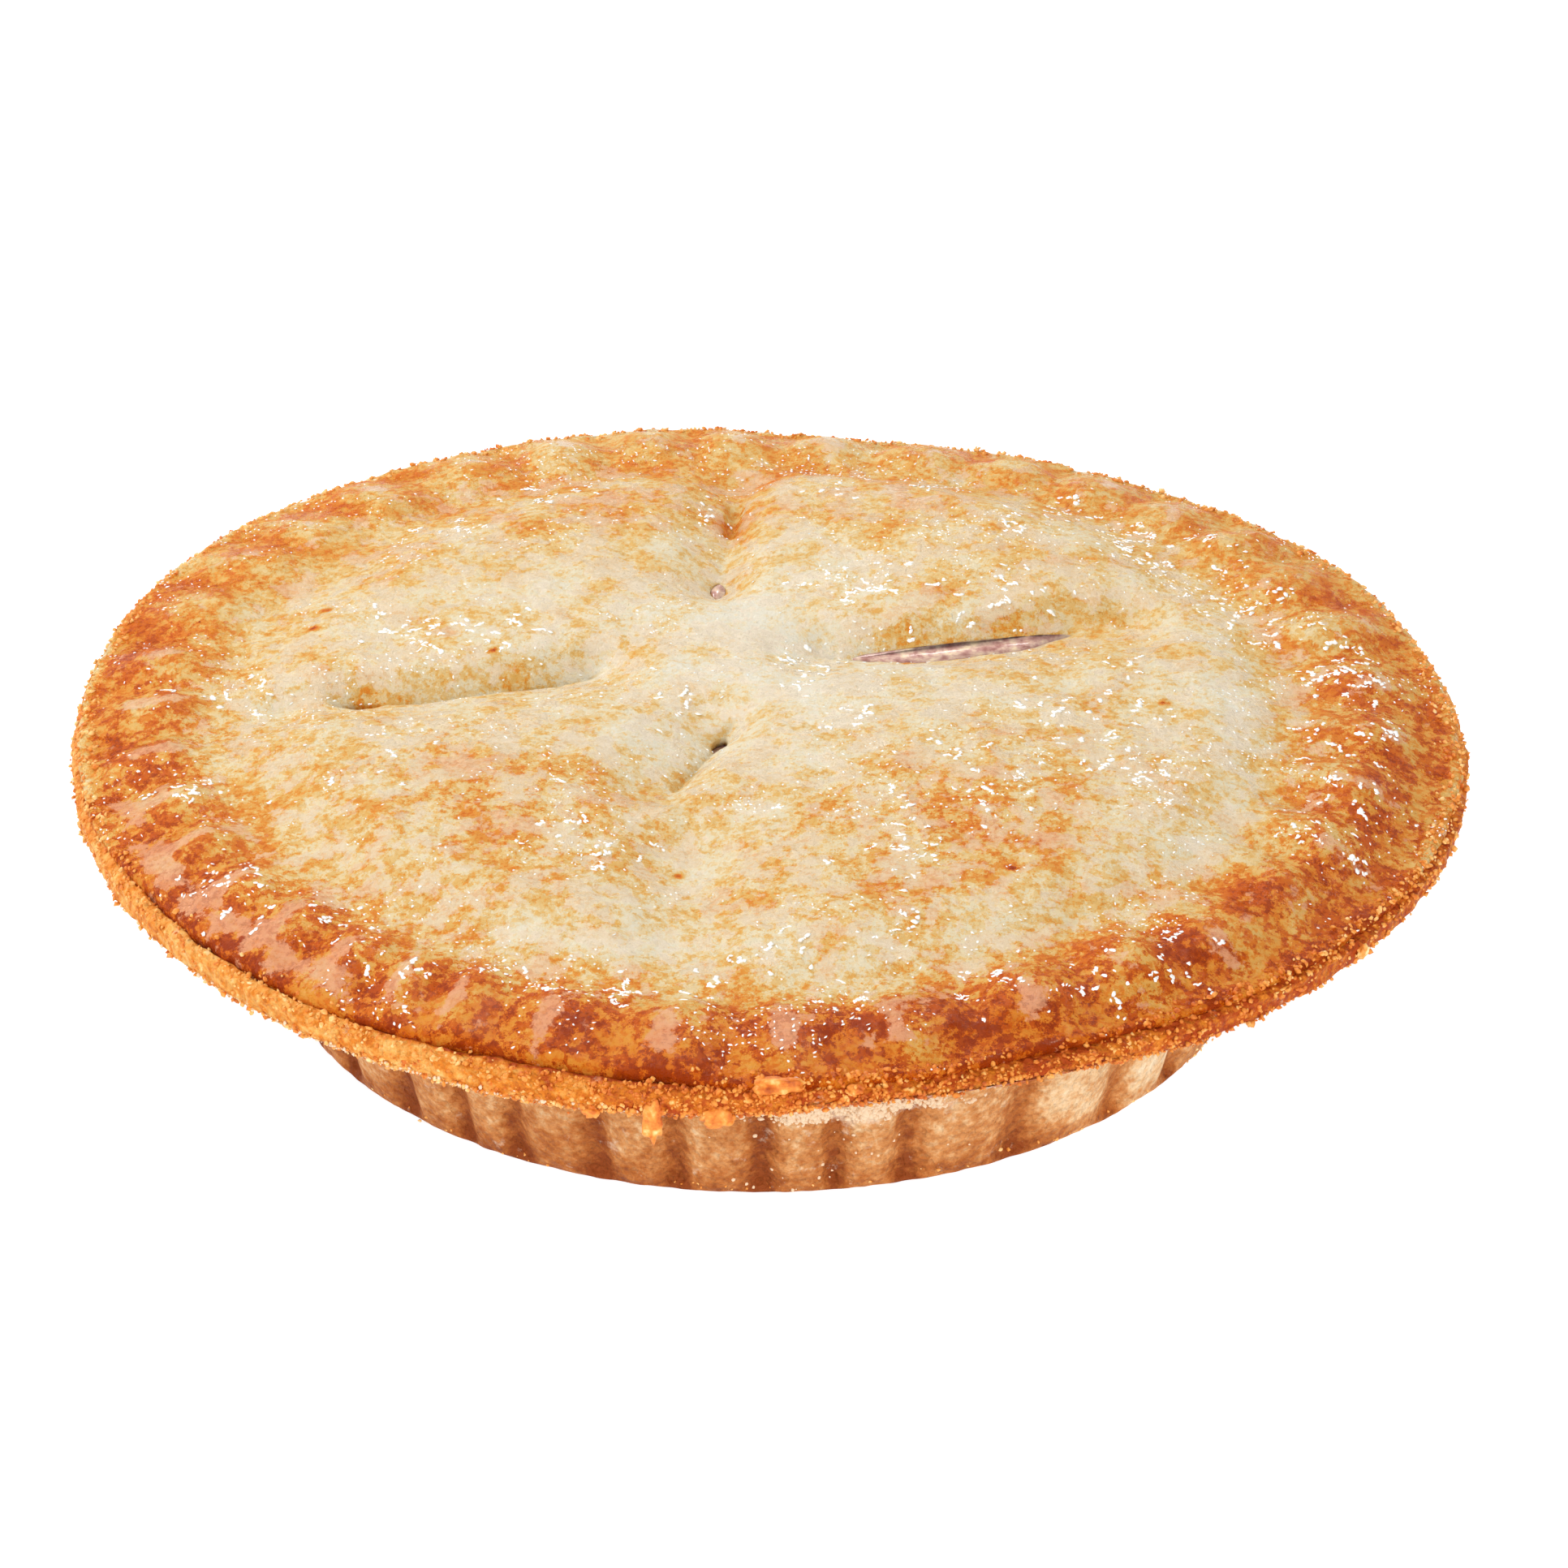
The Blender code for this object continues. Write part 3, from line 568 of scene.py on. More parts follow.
def lid_under(radius, azimuth):
    """Height of the lid's lower surface: flat on the rim, and the lid's thickness down under the middle."""
    share = radius / PIE_RADIUS
    level = smooth(share, 0.76, 0.85)
    band_top = (BAND_TOP_Z - SEAT_Z) * (1 - LOW_BAND[0] * bump(azimuth, *LOW_BAND[1:]))
    over_edge = (band_top - 1.0) * drape(azimuth) * smooth(share, LIP_SHARE - 0.02, LIP_SHARE)
    seat = SEAT_Z + LID_CLEARANCE + over_edge
    return (lid_form(radius, azimuth) - LID_THICKNESS) * (1 - level) + seat * level


CRIMPS = spaced_round(CRIMPS_IN_SIGHT, CRIMP_COUNT, 11)
sizes = random.Random(7)
CRIMP_SIZES = [1 + CRIMP_UNEVEN * sizes.uniform(-1, 1) for _ in CRIMPS]
lid_edge = LIP_SHARE * PIE_RADIUS
lid_section = [(r, 1) for r in np.arange(0, 30, 1.5)]
lid_section += [(r, 1) for r in np.arange(30, 75, 0.9)]
lid_section += [(r, 1) for r in np.arange(75, lid_edge - 1.2, 0.65)]
lid_section += [(lid_edge - 0.9, 0.98), (lid_edge - 0.45, 0.92), (lid_edge - 0.12, 0.80), (lid_edge, 0.62)]
lid_section += [(lid_edge - 0.02, 0.45), (lid_edge - 0.1, 0.25), (lid_edge - 0.3, 0)]
lid_section += [(r, 0) for r in (90, 84, 80, 76, 70, 60, 45, 30, 15, 0)]
lid = turned(lid_section, LID_STEPS)
flat = corners(lid)
radius, azimuth, layer = np.hypot(flat[:, 0], flat[:, 1]), np.arctan2(flat[:, 0], -flat[:, 1]), flat[:, 2]
edge_places = placed(np.full(len(azimuth), lid_edge), azimuth, 0 * azimuth)
edge_share = lip_share(azimuth) + DRAPE_REACH * drape(azimuth) + 0.004 * grain(edge_places, 6, 27)
edge_share += 0.0025 * grain(edge_places, 1.8, 28)
radius = radius * (1 + (edge_share / LIP_SHARE - 1) * smooth(radius, 88, lid_edge))
above, below = lid_surface(radius, azimuth), lid_under(radius, azimuth)
reshape(lid, placed(radius, azimuth, below + layer * (above - below)))

VENT_SEGMENTS = 48


def vent_outline(inner, outer, bow, opening, width):
    """A flat bowed lens on the open stretch of one vent, as a mesh of one face."""
    line = Vector(outer) - Vector(inner)
    left = Vector((-line.y, line.x)).normalized()
    bm = bmesh.new()
    bmesh.ops.create_circle(bm, segments=VENT_SEGMENTS, radius=1.0, cap_ends=True)
    for v in bm.verts:
        along = opening[0] + (opening[1] - opening[0]) * (v.co.x + 1) / 2
        across = v.co.y * abs(v.co.y) ** 0.5 * width / 2 + bow * (1 - (2 * along - 1) ** 2)
        v.co = (*(Vector(inner) + line * along + left * across), 0)
    return bm


lid_mesh = bpy.data.meshes.new("lid")
lid.to_mesh(lid_mesh)
lid.free()
cut_lid = bpy.data.objects.new("lid", lid_mesh)
bpy.context.scene.collection.objects.link(cut_lid)
knives = []
for inner, outer, bow, opening, cut, *_ in VENTS:
    knife = vent_outline(inner, outer, bow, opening, cut)
    bmesh.ops.translate(knife, verts=knife.verts, vec=(0, 0, SEAT_Z - 2))
    raised_faces = bmesh.ops.extrude_face_region(knife, geom=list(knife.faces))["geom"]
    tops = [v for v in raised_faces if isinstance(v, bmesh.types.BMVert)]
    bmesh.ops.translate(knife, verts=tops, vec=(0, 0, 20))
    bmesh.ops.recalc_face_normals(knife, faces=knife.faces)
    knife_mesh = bpy.data.meshes.new("vent_knife")
    knife.to_mesh(knife_mesh)
    knife.free()
    knives.append(bpy.data.objects.new("vent_knife", knife_mesh))
    bpy.context.scene.collection.objects.link(knives[-1])
    vent = cut_lid.modifiers.new("vent", "BOOLEAN")
    vent.operation = "DIFFERENCE"
    vent.object = knives[-1]
    vent.solver = "MANIFOLD"
bpy.context.view_layer.update()
lid = bmesh.new()
lid.from_object(cut_lid, bpy.context.evaluated_depsgraph_get())
for helper in (cut_lid, *knives):
    bpy.data.objects.remove(helper)

flat = corners(lid)
x, y = flat[:, 0], flat[:, 1]
radius, azimuth = unplaced(x, y)
share = radius / PIE_RADIUS
knuckle = knuckles(azimuth)
rim_zone = smooth(share, 0.74, 0.93)
lid.normal_update()
lid_places, lid_normals = corners(lid), np.array([v.normal for v in lid.verts])
# Tones of the lid: how brown it baked, with painted shade in the creases at the vents and on the steep
# flanks; where the wash dried to a pale film, with a painted pinkish reflection of the light on the knuckles'
# left flanks and on the rim's outer slope at the front left; and how far the spots stand out.
bake_and_shade = 0.355 + 0.04 * smooth(share, 0.2, 0.6) + 0.31 * smooth(share, 0.70, 0.95)
for browner, at_x, at_y, reach_x, reach_y in PATCHES:
    bake_and_shade += browner * np.exp(-((x - at_x) ** 2 / reach_x**2 + (y - at_y) ** 2 / reach_y**2))
for browner, degrees, width in RIM_PATCHES:
    bake_and_shade += rim_zone * browner * bump(azimuth, degrees, width)
bake_and_shade += 0.12 * smooth(share, 0.42, 0.62) * bump(azimuth, 180, 62) * (1 - rim_zone)
# Painted shade: steep flanks are painted browner, for the shade they stand in.
bake_and_shade += 0.05 * smooth(1 - lid_normals[:, 2], 0.05, 0.30) * (1 - rim_zone)
bake_and_shade -= 0.10 * np.exp(-((share - 0.70) ** 2) / 0.06**2) * bump(azimuth, 75, 55)
bake_and_shade -= rim_zone * 0.10 * (knuckle - 0.5) * np.exp(-(((share - 0.89) / 0.06) ** 2))
crumbly = smooth(np.abs((azimuth + 0.08 + math.pi) % TURN - math.pi), math.radians(60), math.radians(78))
bake_and_shade += (0.10 - 0.24 * crumbly) * smooth(share, 0.955 + 0.015 * crumbly, 0.975 + 0.013 * crumbly)
# Painted shade: the creases at the vents and the back notch are painted browner and kept bare of the pale
# film.
crease_shade = smooth(creases(x, y), 0.5, 1.2)
bake_and_shade += 0.02 * crease_shade + 0.05 * smooth(creases(x, y), 1.1, 1.7)
# Painted reflection: a pinkish film on the knuckles' left flanks and on the rim's outer slope at the front
# left, where the light from the left reflects.
knuckle_reflection = knuckles(azimuth + math.radians(1)) ** 6 * np.exp(-(((share - 0.897) / 0.05) ** 2))
slope = np.exp(-(((share - 0.945) / 0.03) ** 2)) * bump(azimuth, -56, 20)
knuckle_reflection *= 1 - 0.6 * bump(azimuth, 60, 26)
film_and_reflection = 1.1 * knuckle_reflection * (1 - 0.5 * smooth(-np.cos(azimuth), -0.2, 0.4))
film_and_reflection += 0.9 * slope + 0.56 * (1 - rim_zone) - crease_shade
lid_lip = smooth(share, 0.962, 0.98) * (lid_normals[:, 2] > 0.1) * (0.25 + drape(azimuth))
behind = smooth(-np.cos(azimuth), -0.1, 0.6)
mottle = (0.12 + 0.11 * smooth(bake_and_shade, 0.38, 0.66)) * (1 - 0.45 * behind * smooth(share, 0.3, 0.6))
for at_x, at_y in PINHOLES:
    pinhole = np.exp(-((x - at_x) ** 2 + (y - at_y) ** 2) / PINHOLE_REACH**2)
    bake_and_shade += 0.6 * pinhole
    film_and_reflection -= 2 * pinhole
lid_tones = {"bake_and_shade": bake_and_shade, "film_and_reflection": film_and_reflection, "mottle": mottle}

golden_crust = new_material("egg_washed_shortcrust")
# Shortcrust under a thin coat of egg wash: pale dough that mottles to gold and brown where it baked hardest,
# satin, with wetter patches that glint and a paler film where the wash dried thick. Browner in the creases
# and on steep flanks as painted shade, and pink on the knuckles' left flanks as a painted reflection. The
# mottling has clouds of 9 mm, spots of 2.4 mm, grains of 1.1 mm and burnt specks about 11 mm apart.
place = add(golden_crust, "TexCoord", {}).outputs["Object"]
cloud = add(
    golden_crust,
    "TexNoise",
    {"Vector": place, "Scale": 1 / 0.009, "Detail": 4, "Roughness": 0.55, "Distortion": 0.3},
)
spots = add(golden_crust, "TexNoise", {"Vector": place, "Scale": 1 / 0.0024, "Detail": 7, "Roughness": 0.74})
grains = add(golden_crust, "TexNoise", {"Vector": place, "Scale": 1 / 0.0011, "Detail": 4, "Roughness": 0.7})
specks = add(golden_crust, "TexVoronoi", {"Vector": place, "Scale": 1 / 0.011, "Randomness": 1})
film = add(golden_crust, "TexNoise", {"Vector": place, "Scale": 1 / 0.005, "Detail": 8, "Roughness": 0.7})
bake_and_shade_tone = add(golden_crust, "Attribute", {}, attribute_name="bake_and_shade").outputs["Fac"]
film_and_reflection_tone = add(golden_crust, "Attribute", {}, attribute_name="film_and_reflection").outputs["Fac"]
spot_sum = add(
    golden_crust, "Math", {0: cloud.outputs["Fac"], 1: 0.3, 2: spots.outputs["Fac"]}, operation="MULTIPLY_ADD"
)
spotted = add(
    golden_crust,
    "MapRange",
    {"Value": spot_sum.outputs[0], "From Min": 0.622, "From Max": 0.672},
    interpolation_type="SMOOTHSTEP",
)
grained = add(
    golden_crust,
    "MapRange",
    {"Value": grains.outputs["Fac"], "From Min": 0.46, "From Max": 0.58},
    interpolation_type="SMOOTHSTEP",
)
burnt = add(
    golden_crust, "MapRange", {"Value": specks.outputs["Distance"], "From Min": 0.03, "From Max": 0.02}
)
plain = add(golden_crust, "Math", {0: cloud.outputs["Fac"], 1: 0.52, 2: bake_and_shade_tone}, operation="MULTIPLY_ADD")
contrast = add(golden_crust, "Attribute", {}, attribute_name="mottle").outputs["Fac"]
tone = add(
    golden_crust, "Math", {0: spotted.outputs[0], 1: contrast, 2: plain.outputs[0]}, operation="MULTIPLY_ADD"
)
tone = add(
    golden_crust, "Math", {0: grained.outputs[0], 1: 0.13, 2: tone.outputs[0]}, operation="MULTIPLY_ADD"
)
tone = add(golden_crust, "Math", {0: burnt.outputs[0], 1: 0.5, 2: tone.outputs[0]}, operation="MULTIPLY_ADD")
tone = add(golden_crust, "Math", {0: tone.outputs[0], 1: 0.425}, operation="SUBTRACT")
bare_colour = add(
    golden_crust,
    "ValToRGB",
    {"Fac": tone.outputs[0]},
    stops=(
        (0.08, "#F6ECD6"),
        (0.24, "#F5E2BA"),
        (0.36, "#F2CE8C"),
        (0.46, "#EEB962"),
        (0.56, "#ED9A36"),
        (0.68, "#E57A1A"),
        (0.80, "#D25A06"),
        (0.95, "#A43800"),
    ),
)
film_and_reflection_sum = add(golden_crust, "Math", {0: film_and_reflection_tone, 1: 0.22, 2: film.outputs["Fac"]}, operation="MULTIPLY_ADD")
film_and_reflection_mask = add(golden_crust, "MapRange", {"Value": film_and_reflection_sum.outputs[0], "From Min": 0.62, "From Max": 0.665})
film_holes = add(golden_crust, "MapRange", {"Value": grained.outputs[0], "To Min": 0.95, "To Max": 0.62})
film_and_reflection_mask = add(golden_crust, "Math", {0: film_and_reflection_mask.outputs[0], 1: film_holes.outputs[0]}, operation="MULTIPLY")
# Painted reflection: where the lid baked browner, on the rim, the film turns pink, the light reflected on the
# knuckles.
film_and_reflection_colour = add(
    golden_crust,
    "ValToRGB",
    {"Fac": plain.outputs[0]},
    stops=((0.55, "#FBE9CE"), (0.72, "#F7DCB6"), (0.85, "#F6C292"), (0.95, "#F2A87A")),
)
lid_colour = add(
    golden_crust,
    "Mix",
    {"Factor": film_and_reflection_mask.outputs[0], 6: bare_colour.outputs[0], 7: film_and_reflection_colour.outputs[0]},
    data_type="RGBA",
)
wet = add(golden_crust, "TexNoise", {"Vector": place, "Scale": 1 / 0.005, "Detail": 5, "Roughness": 0.65})
wetter = add(golden_crust, "Math", {0: bake_and_shade_tone, 1: 0.14, 2: wet.outputs["Fac"]}, operation="MULTIPLY_ADD")
wetness = add(
    golden_crust,
    "MapRange",
    {"Value": wetter.outputs[0], "From Min": 0.55, "From Max": 0.62, "To Min": 0.55, "To Max": 0.2},
)
fibre = add(golden_crust, "TexNoise", {"Vector": place, "Scale": 1 / 0.001, "Detail": 4, "Roughness": 0.65})
fibre_bump = add(golden_crust, "Bump", {"Height": fibre.outputs["Fac"], "Strength": 1.0, "Distance": 0.0005})
spot_bump = add(
    golden_crust,
    "Bump",
    {"Height": spots.outputs["Fac"], "Strength": 1.0, "Distance": 0.0012, "Normal": fibre_bump.outputs[0]},
)
surface = add(
    golden_crust,
    "BsdfPrincipled",
    {
        "Base Color": lid_colour.outputs[2],
        "Roughness": wetness.outputs[0],
        "IOR": 1.5,
        "Specular IOR Level": 0.14,
        "Normal": spot_bump.outputs[0],
    },
)
add(golden_crust, "OutputMaterial", {"Surface": surface.outputs[0]})

finished("top_crust_baked", lid, "top_crust", golden_crust, lid_tones)

# ------------------------------------------------------------------------------------------------------------
# Filling. Blueberries boiled down to a thick, glossy jam. It fills the bowl from the floor to the lid, and it
# has bubbled up into the vents, where it shows.

FILLING_CLEARANCE = 0.45
SHOULDER_Z = 26.0
FILLING_STEPS = 180
JAM_CROWN = 0.35
SHADED_JAM_DEPTH = 0.5  # jam that lies deeper than this below the crease is painted brown, as shade


def inner_line(height):
    """Radius of the bowl's inner wall at a height."""
    t = (height - CRUST_THICKNESS) / (SEAT_Z - CRUST_THICKNESS)
    return BOWL_FLOOR_RADIUS + (BOWL_MOUTH_RADIUS - BOWL_FLOOR_RADIUS) * t


floor_z = CRUST_THICKNESS + FILLING_CLEARANCE
shoulder = (SHOULDER_Z - floor_z) / (SEAT_Z - floor_z)
filling_section = [(r, 1) for r in np.linspace(0, 75, 39)]
filling_section += [(inner_line(SHOULDER_Z) - 2 * FILLING_CLEARANCE, shoulder)]
filling_section += [(inner_line(floor_z) - 2 * FILLING_CLEARANCE, 0), (30, 0), (0, 0)]
filling = turned(filling_section, FILLING_STEPS)
flat = corners(filling)
radius, azimuth, layer = np.hypot(flat[:, 0], flat[:, 1]), np.arctan2(flat[:, 0], -flat[:, 1]), flat[:, 2]
level = lid_under(radius, azimuth) - FILLING_CLEARANCE
reshape(filling, placed(radius, azimuth, floor_z + layer * (level - floor_z)))
jam_brown = np.zeros(len(filling.verts))
for inner, outer, bow, opening, cut, *_, jam_sunk in VENTS:
    jam = vent_outline(inner, outer, bow, opening, cut - 0.15)
    for _ in range(3):
        bmesh.ops.inset_region(jam, faces=jam.faces, thickness=cut / 9, use_even_offset=False)
    base = corners(jam)
    radius, azimuth = unplaced(base[:, 0], base[:, 1])
    along, left, length = along_line(base[:, 0], base[:, 1], inner, outer, bow)
    front_edge = lid_form(radius, azimuth) - creases(base[:, 0], base[:, 1])
    base[:, 2] = front_edge - jam_sunk + JAM_CROWN * (1 - (2 * left / cut) ** 2) * smooth(cut, 2, 5)
    base[:, 2] += 0.15 * grain(base, 2.2, 31)
    reshape(jam, base)
    sides = bmesh.ops.extrude_edge_only(jam, edges=[e for e in jam.edges if e.is_boundary])["geom"]
    bmesh.ops.translate(jam, verts=[v for v in sides if isinstance(v, bmesh.types.BMVert)], vec=(0, 0, -4))
    bmesh.ops.holes_fill(jam, edges=[e for e in jam.edges if e.is_boundary])
    bmesh.ops.recalc_face_normals(jam, faces=jam.faces)
    jam_brown = np.append(jam_brown, np.full(len(jam.verts), float(jam_sunk > SHADED_JAM_DEPTH)))
    jam_mesh = bpy.data.meshes.new("jam")
    jam.to_mesh(jam_mesh)
    jam.free()
    filling.from_mesh(jam_mesh)

berry_jam = new_material("blueberry_jam")
# Cooked blueberry that has skinned over: mauve, with paler flecks of about 2 mm, wet and glossy. Its colours
# are painted lighter against the shade of the vents, the palest flecks are a painted highlight in place of
# glints, and it is painted brown as shade where it lies deepest, in the left and front vents.
place = add(berry_jam, "TexCoord", {}).outputs["Object"]
skin = add(berry_jam, "TexNoise", {"Vector": place, "Scale": 1 / 0.002, "Detail": 3, "Roughness": 0.6})
jam_skin_and_glints = add(
    berry_jam,
    "ValToRGB",
    {"Fac": skin.outputs["Fac"]},
    stops=((0.34, "#A8766C"), (0.46, "#C69A90"), (0.56, "#DDBCA8"), (0.68, "#F6DEBC")),
)
deep_shade = add(berry_jam, "Attribute", {}, attribute_name="browned").outputs["Fac"]
jam_colour = add(
    berry_jam, "Mix", {"Factor": deep_shade, 6: jam_skin_and_glints.outputs[0], 7: linear("#A56A28")}, data_type="RGBA"
)
jam_bump = add(berry_jam, "Bump", {"Height": skin.outputs["Fac"], "Strength": 0.3, "Distance": 0.0004})
surface = add(
    berry_jam,
    "BsdfPrincipled",
    {"Base Color": jam_colour.outputs[2], "Roughness": 0.16, "IOR": 1.42, "Normal": jam_bump.outputs[0]},
)
add(berry_jam, "OutputMaterial", {"Surface": surface.outputs[0]})

finished("filling_cooked", filling, "filling", berry_jam, {"browned": jam_brown})

# ------------------------------------------------------------------------------------------------------------
# Flakes and crumbs. The cut edge has shed its crumb: pieces of 0.3 mm to 1.5 mm cling to it, to its ragged
# lower side and to the foot of the wall, and six larger flakes stand out from it, most of them at the front.

FLAKES = (  # azimuth in degrees, radius and height of the middle, length round the pie, thickness and height
    (-8.9, 101.3, 28.6, 2.6, 1.6, 6.4),
    (-3.6, 101.5, 29.6, 4.6, 1.8, 3.0),
    (57.0, 101.5, 31.0, 2.8, 1.8, 2.4),
    (1.4, 100.6, 34.6, 7.0, 2.4, 2.4),
    (7.6, 101.0, 33.6, 2.4, 1.6, 1.8),
    (-14.0, 101.2, 29.0, 2.4, 1.4, 2.0),
)
CRUMB_SHAPES = 9
PALE_BELOW_Z = 20.0  # what fell to the foot of the wall is pale


def jagged(subdivisions, roughness, seed):
    """A lump about 1 across with a broken surface, as a mesh to copy."""
    bm = bmesh.new()
    bmesh.ops.create_icosphere(bm, subdivisions=subdivisions, radius=0.5)
    for v in bm.verts:
        coarse = noise.noise(v.co * 2.4 + Vector((seed * 3.7, 0, 0)))
        fine = noise.noise(v.co * 5.5 + Vector((0, seed * 2.9, 0)))
        v.co *= 1 + roughness * (coarse + 0.5 * fine)
    mesh = bpy.data.meshes.new("shape")
    bm.to_mesh(mesh)
    bm.free()
    return mesh


def put(bm, shape, place, size, turn):
    """Adds a copy of a shape to a mesh, scaled, turned and moved to its place."""
    copy = shape.copy()
    copy.transform(Matrix.Translation(place) @ turn.to_4x4() @ Matrix.Diagonal((*size, 1)))
    bm.from_mesh(copy)
    bpy.data.meshes.remove(copy)


def any_turn(draw):
    """A rotation to anywhere."""
    heading = Matrix.Rotation(draw.uniform(0, TURN), 3, "Z")
    return heading @ Matrix.Rotation(math.acos(draw.uniform(-1, 1)), 3, "X")


def scattered(bm, shapes, on, normals, chance, count, size_range, sunk, draw):
    """Puts lumps on a surface: near points picked by chance, sunk into it by a share of their size."""
    for number in draw.choices(range(len(on)), weights=chance, k=count):
        size = draw.uniform(*size_range) * draw.uniform(0.7, 1.0)
        normal = Vector(normals[number])
        aside = Vector([draw.gauss(0, 0.5) for _ in range(3)])
        place = Vector(on[number]) + aside - normal * aside.dot(normal) + normal * size * (0.5 - sunk)
        spread = (size * draw.uniform(0.8, 1.5), size, size * draw.uniform(0.6, 1.0))
        put(bm, draw.choice(shapes), place, spread, any_turn(draw))


def on_crust(bm, shapes, part, chance, count, size_range, sunk, draw):
    """Scatters lumps on one part of the bottom crust."""
    chance = crust_parts[part] * chance
    scattered(bm, shapes, crust_places, crust_normals, chance, count, size_range, sunk, draw)


draw = random.Random(3)
crumb_shapes = [jagged(1, 0.9, seed) for seed in range(CRUMB_SHAPES)]
in_plan = np.arctan2(crust_places[:, 0], -crust_places[:, 1])
at_front = 0.35 + bump(in_plan, 2, 28)
crumbs_mesh = bmesh.new()
scattered(crumbs_mesh, crumb_shapes, lid_places, lid_normals, lid_lip, 1500, (0.35, 1.1), 0.55, draw)
on_crust(crumbs_mesh, crumb_shapes, "band", at_front, 4200, (0.3, 1.1), 0.6, draw)
on_crust(crumbs_mesh, crumb_shapes, "band_bottom", at_front, 900, (0.4, 1.1), 0.35, draw)
on_crust(crumbs_mesh, crumb_shapes, "foot", 1.0, 110, (0.3, 0.8), 0.5, draw)
flake_shapes = [jagged(4, 0.5, 20 + number) for number in range(len(FLAKES))]
for shape, (degrees, radius, height, length, thickness, tall) in zip(flake_shapes, FLAKES):
    azimuth = math.radians(degrees)
    (place,) = placed(np.array([radius]), np.array([azimuth]), np.array([height]))
    put(crumbs_mesh, shape, Vector(place), (length, thickness, tall), Matrix.Rotation(azimuth, 3, "Z"))

golden_crumb = new_material("golden_crumb")
# Broken shortcrust: matt and golden, each crumb a little lighter or browner than the next.
place = add(golden_crumb, "TexCoord", {}).outputs["Object"]
shade = add(golden_crumb, "TexNoise", {"Vector": place, "Scale": 1 / 0.002, "Detail": 3, "Roughness": 0.6})
browned_tone = add(golden_crumb, "Attribute", {}, attribute_name="browned").outputs["Fac"]
shade_sum = add(
    golden_crumb, "Math", {0: browned_tone, 1: 0.15, 2: shade.outputs["Fac"]}, operation="MULTIPLY_ADD"
)
crumb_colour = add(
    golden_crumb,
    "ValToRGB",
    {"Fac": shade_sum.outputs[0]},
    stops=((0.34, "#F8DCA2"), (0.46, "#F2BC6E"), (0.58, "#E69236"), (0.72, "#D26A14"), (0.9, "#A03C06")),
)
surface = add(
    golden_crumb,
    "BsdfPrincipled",
    {"Base Color": crumb_colour.outputs[0], "Roughness": 0.6, "IOR": 1.45},
)
add(golden_crumb, "OutputMaterial", {"Surface": surface.outputs[0]})

spots_of_crumb = corners(crumbs_mesh)
at_azimuth = np.arctan2(spots_of_crumb[:, 0], -spots_of_crumb[:, 1])
crumb_tone = smooth(at_azimuth, math.radians(-30), math.radians(-5))
crumb_tone *= smooth(at_azimuth, math.radians(70), math.radians(38))
crumb_tone = (0.4 + 0.6 * crumb_tone) * (spots_of_crumb[:, 2] > PALE_BELOW_Z)
finished("crumbs_and_flakes", crumbs_mesh, "bottom_crust", golden_crumb, {"browned": crumb_tone})

# ------------------------------------------------------------------------------------------------------------
# Flour. White grains of dusting flour and dough that dried to the crust: in a line on the wall at the front,
# thinly round that line, and under the cut edge at the front left.

FLOUR_LINE = (9, 9)  # azimuth and width of the white line
FLOURED_EDGE = (-32, 20)  # and of the floured stretch of the cut edge
FLOUR_SHAPES = 5

flour_shapes = [jagged(1, 0.5, 40 + number) for number in range(FLOUR_SHAPES)]
flour_mesh = bmesh.new()
in_line, on_left = bump(in_plan, *FLOUR_LINE), bump(in_plan, *FLOURED_EDGE)
on_crust(flour_mesh, flour_shapes, "under_band", in_line, 700, (0.4, 1.2), 0.55, draw)
on_crust(flour_mesh, flour_shapes, "band_bottom", on_left, 260, (0.3, 0.8), 0.5, draw)
on_crust(flour_mesh, flour_shapes, "wall", in_line, 50, (0.3, 0.8), 0.6, draw)

flour = new_material("dried_flour")
surface = add(flour, "BsdfPrincipled", {"Base Color": linear("#EACDAA"), "Roughness": 0.75, "IOR": 1.45})
add(flour, "OutputMaterial", {"Surface": surface.outputs[0]})

finished("flour_grains", flour_mesh, "bottom_crust", flour)

# ------------------------------------------------------------------------------------------------------------
# Egg wash. It dried in small, glassy beads and streaks on the lid, in clusters, where the light glints on it.
# The beads are coloured near pure white, a painted highlight that shows those glints.

